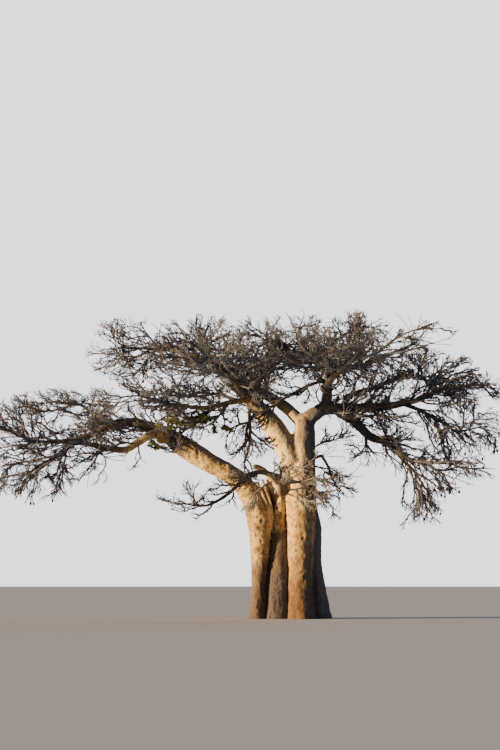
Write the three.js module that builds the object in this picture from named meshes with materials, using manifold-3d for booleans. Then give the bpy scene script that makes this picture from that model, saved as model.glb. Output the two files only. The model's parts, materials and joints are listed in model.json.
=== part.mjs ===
// A bare baobab: several swollen stems grown together into one trunk, long boughs that carry a
// flat-topped crown, and masses of stout leafless twigs, with one small spray still in leaf.
// Z is up, X runs to the right of the trunk and -Y towards the viewer. The origin is at ground
// level in the middle of the main stems. Sizes in the tables are metres; the solids are in mm.

import * as THREE from "three";
import { mergeVertices } from "three/addons/utils/BufferGeometryUtils.js";
import Module from "manifold-3d";

// Units, the gap between pieces that meet, and how far a limb's root runs back beyond its start,
// as a share of its radius
const MM_PER_M = 1000;
const CLEARANCE = 0.0004;
const ROOT_SINK = 0.12;
const WELD_TOLERANCE_MM = 1e-4;

// How finely the solids are faceted: sides round a piece, and rings along it
const STEM_SIDES = 12;
const STEM_RINGS = 9;
const LIMB_SIDES = 8;
const LIMB_RINGS_PER_SPAN = 1.5;
const THIN_LIMB_SIDES = 6;
const THIN_LIMB_RADIUS = 0.15;
const TWIG_SIDES = 3;
const CAPSULES_PER_LIMB = 12;
const STEEP = 0.9;

// The foot: how far the stems start below the cut, and how much they swell towards it
const FOOT_DEPTH = 0.3;
const FLARE_SHARE = 0.2;
const FLARE_HEIGHT = 0.45;

// Twigs: the length of a step, the girth at the tips, and how near they may come to a limb, to
// another mass's stem and to another mass's space
const TWIG_STEP = 0.35;
const LEAST_TWIG = 0.4;
const TWIG_TIP_RADIUS = 0.028;
const LIMB_MARGIN = 0.06;
const STEM_MARGIN = 0.16;
const SPACE_MARGIN = 0.05;

// How twigs fork: what a turn and the way back to the limb cost, how far a twig keeps to the
// heading of the one that it leaves, and how it rises on the way (below zero it turns up at last)
const TURN_COST = 0.8;
const TRAVEL_COST = 0.5;
const SET_OUT = 0.45;
const UPTURN = -0.15;
const MOST_TURN = 1.1;
const MOST_TRIES = 8;
const STRAIGHTEN = 0.14;

// The spaces: how square they are, and where in them the twigs end
const SPACE_POWER = 2.4;
const OUTLINE_SHARE = 0.7;
const OUTLINE_REACH = 0.985;
const INNER_REACH = [0.3, 0.85];
const GOLDEN_ANGLE = Math.PI * (3 - Math.sqrt(5));

// The stem of a mass: its girth on a limb's flank or tip, and how it sets out from a tip
const FLANK_STEM_RADIUS = 0.06;
const FLANK_STEM_SHARE = 0.6;
const TIP_STEM_SHARE = 0.88;
const TIP_HEADING = 0.6;
const STEM_STATIONS = 100;
const MOST_STEM_JOINTS = 12;

// Leaves, each of which stands for a spray: their size, how far out they sit, how they droop, and
// the stretch of each twig that bears them
const LEAF_LENGTH = 0.26;
const LEAF_WIDTH = 0.12;
const LEAF_THICKNESS = 0.012;
const LEAF_OFFSET = 0.42;
const LEAF_DROOP = [-0.9, -0.1];
const LEAFY_JOINTS = 3;

// Fruit: hard pods that hang from the lowest tips
const FRUIT_RADIUS = 0.075;
const FRUIT_LENGTH = 0.2;
const FRUIT_DROP = 0.4;
const FRUIT_SIDES = 6;
const FRUIT_RINGS = 4;
const ORNAMENT_SEED = 1000;

// The stems of the trunk, as [x, y, z, radius] from the ground up.
const STEMS = {
  left: [
    [-1.15, -0.05, 0, 0.34],
    [-1.08, -0.05, 1.4, 0.28],
    [-1.08, -0.05, 2.6, 0.34],
    [-1.1, -0.05, 3.5, 0.42],
    [-1.32, -0.05, 4.1, 0.38],
    [-1.56, -0.08, 4.6, 0.39],
  ],
  middle: [
    [-0.5, 0.12, 0, 0.45],
    [-0.44, 0.12, 1.4, 0.41],
    [-0.39, 0.12, 2.6, 0.31],
    [-0.39, 0.1, 3.7, 0.26],
    [-0.28, 0.05, 4.4, 0.26],
    [-0.1, 0, 5.0, 0.31],
    [0.1, 0, 5.6, 0.36],
  ],
  main: [
    [0.39, -0.1, 0, 0.45],
    [0.38, -0.1, 1.4, 0.43],
    [0.39, -0.1, 2.8, 0.48],
    [0.4, -0.05, 4.2, 0.53],
    [0.46, 0, 5.5, 0.46],
    [0.5, 0, 6.4, 0.41],
    [0.56, 0, 7.05, 0.35],
  ],
  right: [
    [1.0, 0.35, 0, 0.42],
    [0.9, 0.32, 1.0, 0.37],
    [0.78, 0.3, 2.2, 0.34],
    [0.75, 0.25, 3.2, 0.38],
    [0.64, 0.15, 3.9, 0.31],
    [0.52, 0.05, 4.6, 0.28],
  ],
  rear: [
    [0.2, 0.8, 0, 0.5],
    [0.25, 0.65, 1.8, 0.43],
    [0.35, 0.4, 3.4, 0.38],
    [0.43, 0.12, 4.8, 0.32],
  ],
  rear_left: [
    [-0.75, 0.6, 0, 0.42],
    [-0.8, 0.45, 1.6, 0.34],
    [-0.95, 0.22, 3.0, 0.3],
    [-1.12, 0, 3.9, 0.24],
  ],
  prop: [
    [-1.05, -0.1, 4.3, 0.1],
    [-0.82, -0.1, 3.8, 0.11],
    [-0.62, 0, 3.1, 0.1],
  ],
};

// Boughs and branches: where each passes, and its radius at the root and at the tip. Each is cut
// clear of the trunk and of every limb above it in this list.
const LIMBS = {
  bough_left: {
    route: [
      [-1.56, -0.08, 4.6],
      [-1.97, -0.15, 5.03],
      [-2.9, -0.25, 5.55],
      [-3.74, -0.3, 6.07],
      [-4.44, -0.35, 6.55],
      [-4.98, -0.35, 6.81],
    ],
    radius: [0.36, 0.21],
  },
  bough_left_arch: {
    route: [
      [-4.98, -0.35, 6.81],
      [-5.64, -0.35, 7],
      [-6.4, -0.3, 6.94],
    ],
    radius: [0.19, 0.145],
  },
  bough_left_low: {
    route: [
      [-6.4, -0.3, 6.94],
      [-7.0, -0.4, 6.61],
      [-7.68, -0.4, 6.36],
      [-8.7, -0.2, 6.3],
    ],
    radius: [0.135, 0.075],
  },
  bough_left_crest: {
    route: [
      [-6.3, -0.25, 6.96],
      [-7, 0.4, 7.3],
      [-7.51, 1.2, 7.69],
    ],
    radius: [0.11, 0.065],
  },
  bough_left_sag: {
    route: [
      [-4.25, -0.35, 6.45],
      [-4.94, -0.8, 6.52],
      [-5.42, -0.95, 6.23],
      [-5.87, -1.15, 5.96],
      [-6.52, -1.4, 6.02],
      [-7.27, -1.7, 6.15],
    ],
    radius: [0.18, 0.085],
  },
  fork_left: {
    route: [
      [0.45, 0, 4.9],
      [0.05, 0, 5.75],
      [-0.35, 0, 6.55],
      [-0.93, 0, 7.31],
      [-1.33, -0.05, 7.76],
      [-1.62, 0, 8.17],
    ],
    radius: [0.5, 0.24],
  },
  bough_upper_left: {
    route: [
      [-1.62, 0, 8.17],
      [-2.24, 0.3, 8.93],
      [-3.27, 0.6, 9.44],
      [-4.31, 0.9, 9.78],
    ],
    radius: [0.19, 0.08],
  },
  bough_mid_left: {
    route: [
      [-1.35, -0.1, 7.85],
      [-2.08, -0.8, 7.69],
      [-3.03, -1.5, 7.41],
      [-4.16, -2.2, 7.48],
    ],
    radius: [0.12, 0.06],
  },
  bough_hub: {
    route: [
      [-1.35, -0.05, 7.95],
      [-1.1, 0.2, 8.77],
      [-0.78, 0.3, 9.4],
    ],
    radius: [0.14, 0.07],
  },
  bough_front_left: {
    route: [
      [-1.5, -0.05, 8.0],
      [-1.8, -1.1, 8.2],
      [-1.95, -2.4, 8.3],
      [-2.58, -4.4, 8.56],
    ],
    radius: [0.16, 0.075],
  },
  bough_back_left: {
    route: [
      [0.5, 0.1, 6.95],
      [-0.1, 0.2, 7.55],
      [-0.85, 0.9, 8.1],
      [-1.63, 2.6, 8.76],
      [-2.53, 4.6, 9.38],
    ],
    radius: [0.22, 0.08],
  },
  bough_back: {
    route: [
      [-0.9, 1.35, 8.15],
      [-0.76, 3.0, 9.09],
      [-0.46, 5.2, 9.84],
    ],
    radius: [0.12, 0.065],
  },
  fork_right: {
    route: [
      [0.55, 0, 7.05],
      [0.87, 0, 7.31],
      [1.33, 0, 7.6],
    ],
    radius: [0.3, 0.24],
  },
  upright: {
    route: [
      [1.31, 0, 7.6],
      [1.36, 0, 8.13],
      [1.4, 0.06, 8.7],
      [1.6, 0.2, 9.1],
    ],
    radius: [0.2, 0.13],
  },
  bough_right: {
    route: [
      [1.3, -0.02, 7.57],
      [2.25, -0.28, 7.51],
      [2.98, -0.4, 7.54],
      [3.55, -0.45, 7.58],
      [4.11, -0.5, 7.68],
      [4.68, -0.3, 7.83],
      [5.4, 0, 8.25],
    ],
    radius: [0.16, 0.07],
  },
  bough_right_low: {
    route: [
      [1.4, -0.1, 7.56],
      [1.86, -0.4, 7.37],
      [2.36, -0.8, 6.93],
      [2.79, -1.05, 6.46],
      [3.38, -1.45, 6.17],
      [4, -1.9, 5.63],
    ],
    radius: [0.17, 0.085],
  },
  bough_top: {
    route: [
      [1.6, 0.2, 9.1],
      [2, 0.2, 9.6],
      [2.45, 0.1, 10.05],
    ],
    radius: [0.1, 0.06],
  },
  bough_centre: {
    route: [
      [1.4, 0.08, 8.75],
      [0.88, 0.1, 9.24],
      [0.49, 0.2, 9.6],
    ],
    radius: [0.1, 0.06],
  },
  bough_front_right: {
    route: [
      [1.25, 0, 8.25],
      [1.45, -1.1, 8.45],
      [1.63, -2.4, 8.55],
      [1.98, -4.8, 8.68],
    ],
    radius: [0.14, 0.07],
  },
  bough_back_centre: {
    route: [
      [1.5, 0.12, 8.95],
      [1.77, 2.4, 9.5],
      [2.01, 5.2, 10],
    ],
    radius: [0.12, 0.065],
  },
  bough_upper_right: {
    route: [
      [1.55, 0.15, 9],
      [2.57, 0.3, 9.1],
      [3.49, 0.5, 9.5],
      [4.2, 0.6, 9.77],
    ],
    radius: [0.115, 0.065],
  },
  bough_back_right: {
    route: [
      [1.9, -0.2, 7.52],
      [2.1, 0.4, 7.95],
      [2.6, 1.4, 8.25],
      [3.3, 2.9, 8.6],
      [4.2, 4.8, 9.17],
    ],
    radius: [0.13, 0.065],
  },
  branch_weeping: {
    route: [
      [4.0, -0.5, 7.68],
      [4.95, -1.1, 7.19],
      [5.66, -1.7, 6.64],
    ],
    radius: [0.075, 0.045],
  },
  branch_low_left: {
    route: [
      [0.2, -0.1, 4.95],
      [-0.12, -0.35, 4.97],
      [-0.57, -0.7, 5.07],
      [-1.06, -0.85, 5.18],
      [-1.41, -0.95, 5.09],
      [-1.8, -1.0, 4.79],
      [-2.17, -1.0, 4.44],
      [-2.6, -1.0, 4.15],
      [-2.93, -1.0, 4.0],
    ],
    radius: [0.12, 0.05],
  },
  branch_crossing: {
    route: [
      [1.38, 0.05, 8.55],
      [0.85, -0.35, 8.4],
      [0.1, -0.75, 8],
      [-0.6, -0.95, 7.55],
      [-1.05, -1, 7.2],
    ],
    radius: [0.07, 0.04],
  },
};

// Masses of twigs: the limb and the share of its length where each one's stem starts, the middle
// and the half sizes of the space that it fills, how many twigs reach out in it, and their arch
// where they weep. A stem on the trunk is told by where it starts and a point that it goes through.
const MASSES = {
  twigs_left_low: {
    on: "bough_left_sag",
    at: 1,
    middle: [-8.98, -1.8, 5.19],
    half: [1.65, 1.9, 1],
    ends: 11,
    arch: 0.12,
  },
  twigs_left_tip: {
    on: "bough_left_low",
    at: 1,
    middle: [-9.79, 0.6, 6.92],
    half: [1.2, 2, 0.95],
    ends: 12,
  },
  twigs_left_crest: {
    on: "bough_left_crest",
    at: 1,
    middle: [-8.4, 2.4, 7.8],
    half: [1.95, 2, 0.62],
    ends: 14,
  },
  twigs_left_under: {
    on: "bough_left_sag",
    at: 0.75,
    middle: [-7.05, -2.1, 5.46],
    half: [1.3, 1.3, 0.8],
    ends: 10,
  },
  twigs_left_core: {
    on: "bough_left_arch",
    at: 0.8,
    middle: [-7.2, 2.4, 7],
    half: [1.4, 1.6, 0.62],
    ends: 10,
  },
  twigs_mid_left: {
    on: "bough_mid_left",
    at: 1,
    middle: [-4.88, -2.9, 7.62],
    half: [2.2, 2, 0.62],
    ends: 15,
  },
  twigs_mid_left_back: {
    on: "fork_left",
    at: 0.86,
    middle: [-4.05, 2.7, 8.48],
    half: [1.8, 2, 0.5],
    ends: 11,
  },
  twigs_upper_left_tip: {
    on: "bough_upper_left",
    at: 1,
    middle: [-5.83, 1.2, 9.81],
    half: [1.65, 2.4, 1.15],
    ends: 16,
  },
  twigs_upper_left: {
    on: "bough_upper_left",
    at: 0.55,
    middle: [-3.4, 0.4, 9.99],
    half: [1.5, 2, 1],
    ends: 12,
  },
  twigs_hub: {
    on: "bough_hub",
    at: 1,
    middle: [-1, 0, 9.89],
    half: [1.5, 2, 1],
    ends: 16,
  },
  twigs_front_left: {
    on: "bough_front_left",
    at: 1,
    middle: [-2.7, -5.2, 8.86],
    half: [2.2, 2.2, 0.9],
    ends: 14,
  },
  twigs_front_mid_left: {
    on: "bough_front_left",
    at: 0.5,
    middle: [-3, -2.9, 9],
    half: [1.9, 1.4, 0.7],
    ends: 10,
  },
  twigs_back_left: {
    on: "bough_back_left",
    at: 1,
    middle: [-3, 5.4, 9.8],
    half: [2.2, 2.3, 1.1],
    ends: 14,
  },
  twigs_back: {
    on: "bough_back",
    at: 1,
    middle: [-0.5, 6.1, 10.2],
    half: [1.9, 2, 1.1],
    ends: 11,
  },
  twigs_centre: {
    on: "bough_centre",
    at: 1,
    middle: [0.5, 0.3, 9.95],
    half: [1.5, 1.9, 1.1],
    ends: 22,
  },
  twigs_top: {
    on: "bough_top",
    at: 1,
    middle: [2.4, 0.1, 10.25],
    half: [1.4, 1.8, 0.86],
    ends: 20,
  },
  twigs_front_right: {
    on: "bough_front_right",
    at: 1,
    middle: [2.31, -5.2, 9.03],
    half: [2.2, 2.2, 0.9],
    ends: 14,
  },
  twigs_front_centre: {
    on: "bough_front_right",
    at: 0.5,
    middle: [0.6, -3.2, 9.2],
    half: [1.9, 1.5, 0.75],
    ends: 10,
  },
  twigs_back_centre: {
    on: "bough_back_centre",
    at: 1,
    middle: [2.3, 6.1, 10.3],
    half: [1.9, 2, 1.05],
    ends: 11,
  },
  twigs_back_middle: {
    on: "bough_back_centre",
    at: 0.5,
    middle: [0.5, 3.2, 9.75],
    half: [2.2, 1.5, 0.8],
    ends: 11,
  },
  twigs_back_right: {
    on: "bough_back_right",
    at: 1,
    middle: [4.7, 5.3, 9.45],
    half: [2, 2.1, 1],
    ends: 12,
  },
  twigs_upper_right: {
    on: "bough_upper_right",
    at: 1,
    middle: [4.45, 1.1, 10.38],
    half: [1.65, 2.2, 0.6],
    ends: 14,
  },
  twigs_right_shoulder: {
    on: "bough_right",
    at: 0.86,
    middle: [5.49, 1.6, 9.06],
    half: [1.5, 2, 0.7],
    ends: 12,
  },
  twigs_right_tip: {
    on: "bough_right",
    at: 1,
    middle: [6.61, -0.2, 8.21],
    half: [1.1, 1.8, 0.55],
    ends: 10,
  },
  twigs_weeping: {
    on: "branch_weeping",
    at: 1,
    middle: [6.03, -2.2, 6.73],
    half: [1.25, 1.9, 1.15],
    ends: 14,
    arch: 0.3,
    fruit: 3,
  },
  twigs_right_fan: {
    on: "bough_right_low",
    at: 1,
    middle: [5.39, -2.6, 5.29],
    half: [1.6, 1.9, 0.82],
    ends: 14,
    arch: 0.12,
    fruit: 4,
  },
  twigs_right_hanging: {
    on: "bough_right_low",
    at: 0.84,
    middle: [4.65, -1.9, 4.5],
    half: [0.95, 1, 0.86],
    ends: 8,
    arch: 0.2,
  },
  twigs_under_right: {
    on: "bough_right",
    at: 0.45,
    middle: [3.56, -1, 6.91],
    half: [1.4, 1.4, 0.58],
    ends: 10,
    arch: 0.25,
  },
  twigs_under_low: {
    on: "bough_right_low",
    at: 0.5,
    middle: [2.7, -1.3, 5.95],
    half: [0.8, 0.8, 0.58],
    ends: 8,
  },
  twigs_trunk_right: {
    on: "trunk",
    from: [0.5, 0, 5.6],
    through: [1.1, -0.02, 5.85],
    middle: [1.75, 0, 5.15],
    half: [0.85, 0.9, 1.4],
    ends: 10,
  },
  twigs_trunk_front: {
    on: "trunk",
    from: [0.4, -0.1, 4.8],
    through: [0.4, -0.7, 4.9],
    middle: [0.4, -0.85, 4.95],
    half: [0.75, 0.4, 0.4],
    ends: 8,
  },
  twigs_low_left: {
    on: "branch_low_left",
    at: 1,
    middle: [-3.5, -1.1, 4.3],
    half: [1.25, 0.9, 0.55],
    ends: 8,
  },
  twigs_hanging: {
    on: "fork_left",
    at: 0.8,
    middle: [-1.6, -0.3, 6.7],
    half: [0.9, 0.8, 1],
    ends: 8,
    arch: 0.2,
  },
  spray_in_leaf: {
    on: "bough_mid_left",
    at: 0.45,
    middle: [-3.5, -1.4, 6.85],
    half: [1.3, 0.8, 0.55],
    ends: 8,
    leaves: 14,
  },
};

const MATERIALS = {
  bark: new THREE.MeshStandardMaterial({ color: 0xc9ae86, roughness: 0.85, metalness: 0 }),
  limb: new THREE.MeshStandardMaterial({ color: 0x9a8268, roughness: 0.88, metalness: 0 }),
  twig: new THREE.MeshStandardMaterial({ color: 0x4a3a30, roughness: 0.92, metalness: 0 }),
  leafy: new THREE.MeshStandardMaterial({ color: 0x5a5a2c, roughness: 0.8, metalness: 0 }),
};

const wasm = await Module();
wasm.setup();

// Numbers from 0 to 1 that follow from a seed, the same on every run.
function seeded(seed) {
  let state = seed >>> 0;
  return () => {
    state = (state + 0x6d2b79f5) >>> 0;
    let mixed = Math.imul(state ^ (state >>> 15), state | 1);
    mixed ^= mixed + Math.imul(mixed ^ (mixed >>> 7), mixed | 61);
    return ((mixed ^ (mixed >>> 14)) >>> 0) / 2 ** 32;
  };
}

// A closed geometry's welded surface as a solid.
function solidOf(geometry) {
  geometry.deleteAttribute("normal");
  geometry.deleteAttribute("uv");
  const welded = mergeVertices(geometry, WELD_TOLERANCE_MM);
  return new wasm.Manifold(
    new wasm.Mesh({
      numProp: 3,
      vertProperties: new Float32Array(welded.attributes.position.array),
      triVerts: new Uint32Array(welded.index.array),
    }),
  );
}

// A solid's surface as a geometry.
function geometryOf(solid) {
  const mesh = solid.getMesh();
  const geometry = new THREE.BufferGeometry();
  geometry.setAttribute("position", new THREE.BufferAttribute(mesh.vertProperties, 3));
  geometry.setIndex(new THREE.BufferAttribute(mesh.triVerts, 1));
  geometry.computeVertexNormals();
  return geometry;
}

// The largest of a solid's separate surfaces: loose scraps are dropped and hollows are filled.
function largestBody(solid) {
  return solid.decompose().sort((a, b) => b.volume() - a.volume())[0];
}

// The two directions across a line at each of its points, with as little twist as the bends allow.
function framesAlong(points) {
  const last = points.length - 1;
  const along = points.map((_, i) =>
    new THREE.Vector3().subVectors(points[Math.min(i + 1, last)], points[Math.max(i - 1, 0)]).normalize(),
  );
  const first = along[0];
  const reference = Math.abs(first.z) < STEEP ? new THREE.Vector3(0, 0, 1) : new THREE.Vector3(1, 0, 0);
  let across = new THREE.Vector3().crossVectors(first, reference).normalize();
  return along.map((direction) => {
    across = across.clone().addScaledVector(direction, -across.dot(direction)).normalize();
    return { across, up: new THREE.Vector3().crossVectors(across, direction) };
  });
}

// A cylinder bent along a line of points, with its own radius at each: a stem or limb, or a twig,
// whose last radius is nothing, so that it ends in a point.
function taperedTube(points, radii, sides) {
  const frames = framesAlong(points);
  const rows = points.length - 1;
  const pointed = radii[rows] === 0;
  const geometry = new THREE.CylinderGeometry(pointed ? 0 : 1, 1, 1, sides, rows);
  const position = geometry.attributes.position;
  const vertex = new THREE.Vector3();
  for (let i = 0; i < position.count; i += 1) {
    vertex.fromBufferAttribute(position, i);
    const row = Math.round((vertex.y + 0.5) * rows);
    const { across, up } = frames[row];
    const unit = pointed && row < rows ? radii[row] / (1 - row / rows) : radii[row];
    const placed = points[row]
      .clone()
      .addScaledVector(across, vertex.x * unit)
      .addScaledVector(up, vertex.z * unit)
      .multiplyScalar(MM_PER_M);
    position.setXYZ(i, placed.x, placed.y, placed.z);
  }
  return solidOf(geometry);
}

// The smooth line that a limb follows, as evenly spaced points with their radii.
function limbLine(limb, steps) {
  const curve = new THREE.CatmullRomCurve3(limb.route.map((p) => new THREE.Vector3(...p)));
  const [root, tip] = limb.radius;
  const points = curve.getSpacedPoints(steps);
  return { points, radii: points.map((_, i) => THREE.MathUtils.lerp(root, tip, i / steps)) };
}

// One limb, its root run back into what carries it. grow makes it that much larger all over.
function limbSolid(name, grow = 0) {
  const limb = LIMBS[name];
  const { points, radii } = limbLine(limb, Math.round(LIMB_RINGS_PER_SPAN * (limb.route.length - 1)));
  const sides = limb.radius[0] > THIN_LIMB_RADIUS ? LIMB_SIDES : THIN_LIMB_SIDES;
  const back = new THREE.Vector3().subVectors(points[0], points[1]).normalize();
  const last = points.length - 1;
  const onward = new THREE.Vector3().subVectors(points[last], points[last - 1]).normalize();
  const faceGrow = grow / Math.cos(Math.PI / sides);
  const ends = [points[0].clone().addScaledVector(back, limb.radius[0] * ROOT_SINK + grow)];
  points[last].addScaledVector(onward, grow);
  return taperedTube([...ends, ...points], [radii[0], ...radii].map((r) => r + faceGrow), sides);
}

// A stem of the trunk: a smooth line through its stations, swelling towards the ground.
function stemSolid(stations, grow) {
  const curve = new THREE.CatmullRomCurve3(stations.map(([x, y, z]) => new THREE.Vector3(x, y, z)));
  const girth = new THREE.CatmullRomCurve3(stations.map(([, , z, r]) => new THREE.Vector3(r, 0, z)));
  const points = [];
  const radii = [];
  for (let i = 0; i <= STEM_RINGS; i += 1) {
    const point = curve.getPoint(i / STEM_RINGS);
    const flare = 1 + FLARE_SHARE * Math.exp(-point.z / FLARE_HEIGHT);
    points.push(point);
    radii.push(girth.getPoint(i / STEM_RINGS).x * flare + grow / Math.cos(Math.PI / STEM_SIDES));
  }
  if (stations[0][2] === 0) {
    points.unshift(points[0].clone().setZ(-FOOT_DEPTH));
    radii.unshift(radii[0]);
  }
  points[points.length - 1].z += grow;
  return taperedTube(points, radii, STEM_SIDES);
}

// The stems grown together, cut flat at the ground.
function trunkSolid(grow = 0) {
  const stems = Object.values(STEMS).map((stations) => stemSolid(stations, grow));
  return largestBody(wasm.Manifold.union(stems).trimByPlane([0, 0, 1], 0));
}

// Every limb in turn, cut clear of the trunk and of the limbs made before it.
function makeLimbs(trunkClear) {
  const made = {};
  const cleared = [trunkClear];
  for (const name of Object.keys(LIMBS)) {
    made[name] = largestBody(limbSolid(name).subtract(wasm.Manifold.union(cleared)));
    cleared.push(limbSolid(name, CLEARANCE));
  }
  return { made, cleared };
}

// How far out a point lies in a mass's space: 0 in the middle, 1 on its skin.
function spread({ middle, half }, p) {
  const sum = [p.x, p.y, p.z].reduce(
    (total, value, i) => total + Math.abs((value - middle[i]) / half[i]) ** SPACE_POWER,
    0,
  );
  return sum ** (1 / SPACE_POWER);
}

// Whether a point lies in the mass's own space, and not nearer the middle of a neighbour's.
function owns(name, p) {
  const own = spread(MASSES[name], p);
  const others = Object.keys(MASSES).filter((other) => other !== name);
  return own < 1 && others.every((other) => spread(MASSES[other], p) > own + SPACE_MARGIN);
}

// The trunk's and the limbs' centre lines as short capsules, which twigs keep clear of.
function limbCapsules() {
  const lines = Object.values(LIMBS).map((limb) => limbLine(limb, CAPSULES_PER_LIMB));
  for (const stations of Object.values(STEMS)) {
    lines.push({
      points: stations.map(([x, y, z]) => new THREE.Vector3(x, y, z)),
      radii: stations.map(([, , , r]) => r),
    });
  }
  return lines.flatMap(({ points, radii }) =>
    points.slice(1).map((end, i) => ({ line: new THREE.Line3(points[i], end), radius: radii[i] })),
  );
}

const capsules = limbCapsules();
const nearest = new THREE.Vector3();

// Whether a point is clear of the trunk and of every limb.
function clearOfLimbs(p) {
  return capsules.every(({ line, radius }) => {
    line.closestPointToPoint(p, true, nearest);
    return nearest.distanceTo(p) > radius + LIMB_MARGIN;
  });
}

// A mass's stem: from the limb or trunk that carries it, where it starts inside the wood, to the
// first point within the mass's own space.
function stemOf(name) {
  const mass = MASSES[name];
  const middle = new THREE.Vector3(...mass.middle);
  const places = [];
  let radius = FLANK_STEM_RADIUS;
  if (mass.on === "trunk") {
    places.push(new THREE.Vector3(...mass.from), new THREE.Vector3(...mass.through));
  } else {
    const { points, radii } = limbLine(LIMBS[mass.on], STEM_STATIONS);
    const station = Math.round(mass.at * STEM_STATIONS);
    const start = points[station];
    const heading = middle.clone().sub(start).normalize();
    if (mass.at === 1) {
      const onward = new THREE.Vector3().subVectors(start, points[station - 1]).normalize();
      heading.lerp(onward, TIP_HEADING).normalize();
      radius = radii[station] * TIP_STEM_SHARE;
    } else {
      radius = Math.min(radius, radii[station] * FLANK_STEM_SHARE);
    }
    const out = mass.at === 1 ? TWIG_STEP : radii[station] + TWIG_STEP;
    places.push(start, start.clone().addScaledVector(heading, out));
  }
  while (!owns(name, places.at(-1)) && places.length < MOST_STEM_JOINTS) {
    const last = places.at(-1);
    const heading = middle.clone().sub(last).normalize();
    places.push(last.clone().addScaledVector(heading, TWIG_STEP));
  }
  return { places, radius };
}

const stems = Object.fromEntries(Object.keys(MASSES).map((name) => [name, stemOf(name)]));

// Whether a point is clear of the stems of all the other masses.
function clearOfStems(name, p) {
  return Object.entries(stems).every(([other, { places }]) => {
    if (other === name) return true;
    return places.slice(1).every((end, i) => {
      new THREE.Line3(places[i], end).closestPointToPoint(p, true, nearest);
      return nearest.distanceTo(p) > STEM_MARGIN;
    });
  });
}

// The places that a mass's twigs reach: its furthest points along each axis, and then a spiral
// that spreads the rest evenly, most of them near the skin of its space.
function endsOf(name, random) {
  const mass = MASSES[name];
  const middle = new THREE.Vector3(...mass.middle);
  const half = new THREE.Vector3(...mass.half);
  const directions = [
    [1, 0, 0],
    [-1, 0, 0],
    [0, 0, 1],
    [0, 0, -1],
    [0, 1, 0],
    [0, -1, 0],
  ].map((axis) => new THREE.Vector3(...axis));
  const furthest = directions.length;
  const offset = random() * Math.PI * 2;
  for (let i = 0; i < mass.ends; i += 1) {
    const z = 1 - (2 * i + 1) / mass.ends;
    const ring = Math.sqrt(1 - z * z);
    const turn = GOLDEN_ANGLE * i + offset;
    directions.push(new THREE.Vector3(ring * Math.cos(turn), ring * Math.sin(turn), z));
  }
  const places = directions.map((direction, i) => {
    const outer = i < furthest || random() < OUTLINE_SHARE;
    const share = outer ? OUTLINE_REACH : THREE.MathUtils.lerp(...INNER_REACH, random());
    const ray = direction.multiply(half);
    return ray.multiplyScalar(share / spread(mass, ray.clone().add(middle))).add(middle);
  });
  return places.filter((place) => owns(name, place) && clearOfLimbs(place));
}

// The bent way of a twig from a joint to its end: it sets out along the twig that it leaves and
// rises or sags on the way, by the mass's arch.
function twigWay(from, end, arch) {
  const gap = from.place.distanceTo(end);
  const steps = Math.ceil(gap / TWIG_STEP);
  return Array.from({ length: steps }, (_, i) => {
    const t = (i + 1) / steps;
    const bow = t * (1 - t) * gap;
    const place = from.place.clone().lerp(end, t).addScaledVector(from.heading, SET_OUT * bow);
    place.z += arch * bow;
    return place;
  });
}

// Grows a mass's twigs. Its ends are reached in turn, the furthest first, each from the joint with
// the shortest way: the gap, longer the more the twig has to turn, and a share of the way back to
// the limb. A twig that would leave the mass's own space or touch a limb or another mass's stem
// tries the next joints, and is skipped when none will do.
function growTwigs(name, seed) {
  const random = seeded(seed);
  const { arch = UPTURN } = MASSES[name];
  const joints = [];
  const addJoint = (place, parent) => {
    const from = joints[parent];
    joints.push({
      place,
      parent,
      heading: from ? place.clone().sub(from.place).normalize() : new THREE.Vector3(),
      travel: from ? from.travel + place.distanceTo(from.place) : 0,
    });
  };
  stems[name].places.forEach((place, i) => addJoint(place, i - 1));
  const foot = joints.at(-1).place;
  const ends = endsOf(name, random).sort((a, b) => b.distanceTo(foot) - a.distanceTo(foot));
  const allowed = (place) => owns(name, place) && clearOfStems(name, place) && clearOfLimbs(place);
  for (const end of ends) {
    const ways = joints.slice(1).map(({ place, heading, travel }, i) => {
      const gap = place.distanceTo(end);
      const turn = 1 - end.clone().sub(place).dot(heading) / gap;
      return { joint: i + 1, gap, turn, cost: gap * (1 + TURN_COST * turn) + TRAVEL_COST * travel };
    });
    const open = ways.filter(({ gap, turn }) => gap > LEAST_TWIG && turn < MOST_TURN);
    open.sort((a, b) => a.cost - b.cost);
    for (const { joint } of open.slice(0, MOST_TRIES)) {
      const way = twigWay(joints[joint], end, arch);
      if (way.every(allowed)) {
        way.forEach((place, i) => addJoint(place, i ? joints.length - 1 : joint));
        break;
      }
    }
  }
  return joints;
}

// For each joint, how many twig tips it feeds and which joints grow from it.
function tally(joints) {
  const grown = joints.map(() => []);
  joints.forEach(({ parent }, i) => parent >= 0 && grown[parent].push(i));
  const tips = joints.map(() => 0);
  for (let i = joints.length - 1; i >= 0; i -= 1) {
    tips[i] = grown[i].length ? grown[i].reduce((sum, child) => sum + tips[child], 0) : 1;
  }
  grown.forEach((children) => children.sort((a, b) => tips[b] - tips[a]));
  return { grown, tips };
}

// Splits the joints into unbroken twigs: each goes on through the child that feeds the most
// tips, and every other child starts a twig of its own, rooted at the joint.
function twigsOf(joints) {
  const { grown, tips } = tally(joints);
  const starts = [[0]];
  const twigs = [];
  while (starts.length) {
    const twig = starts.pop();
    while (grown[twig.at(-1)].length) {
      const [next, ...others] = grown[twig.at(-1)];
      others.forEach((other) => starts.push([twig.at(-1), other]));
      twig.push(next);
    }
    twigs.push(twig);
  }
  return { twigs, tips, grown };
}

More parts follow.
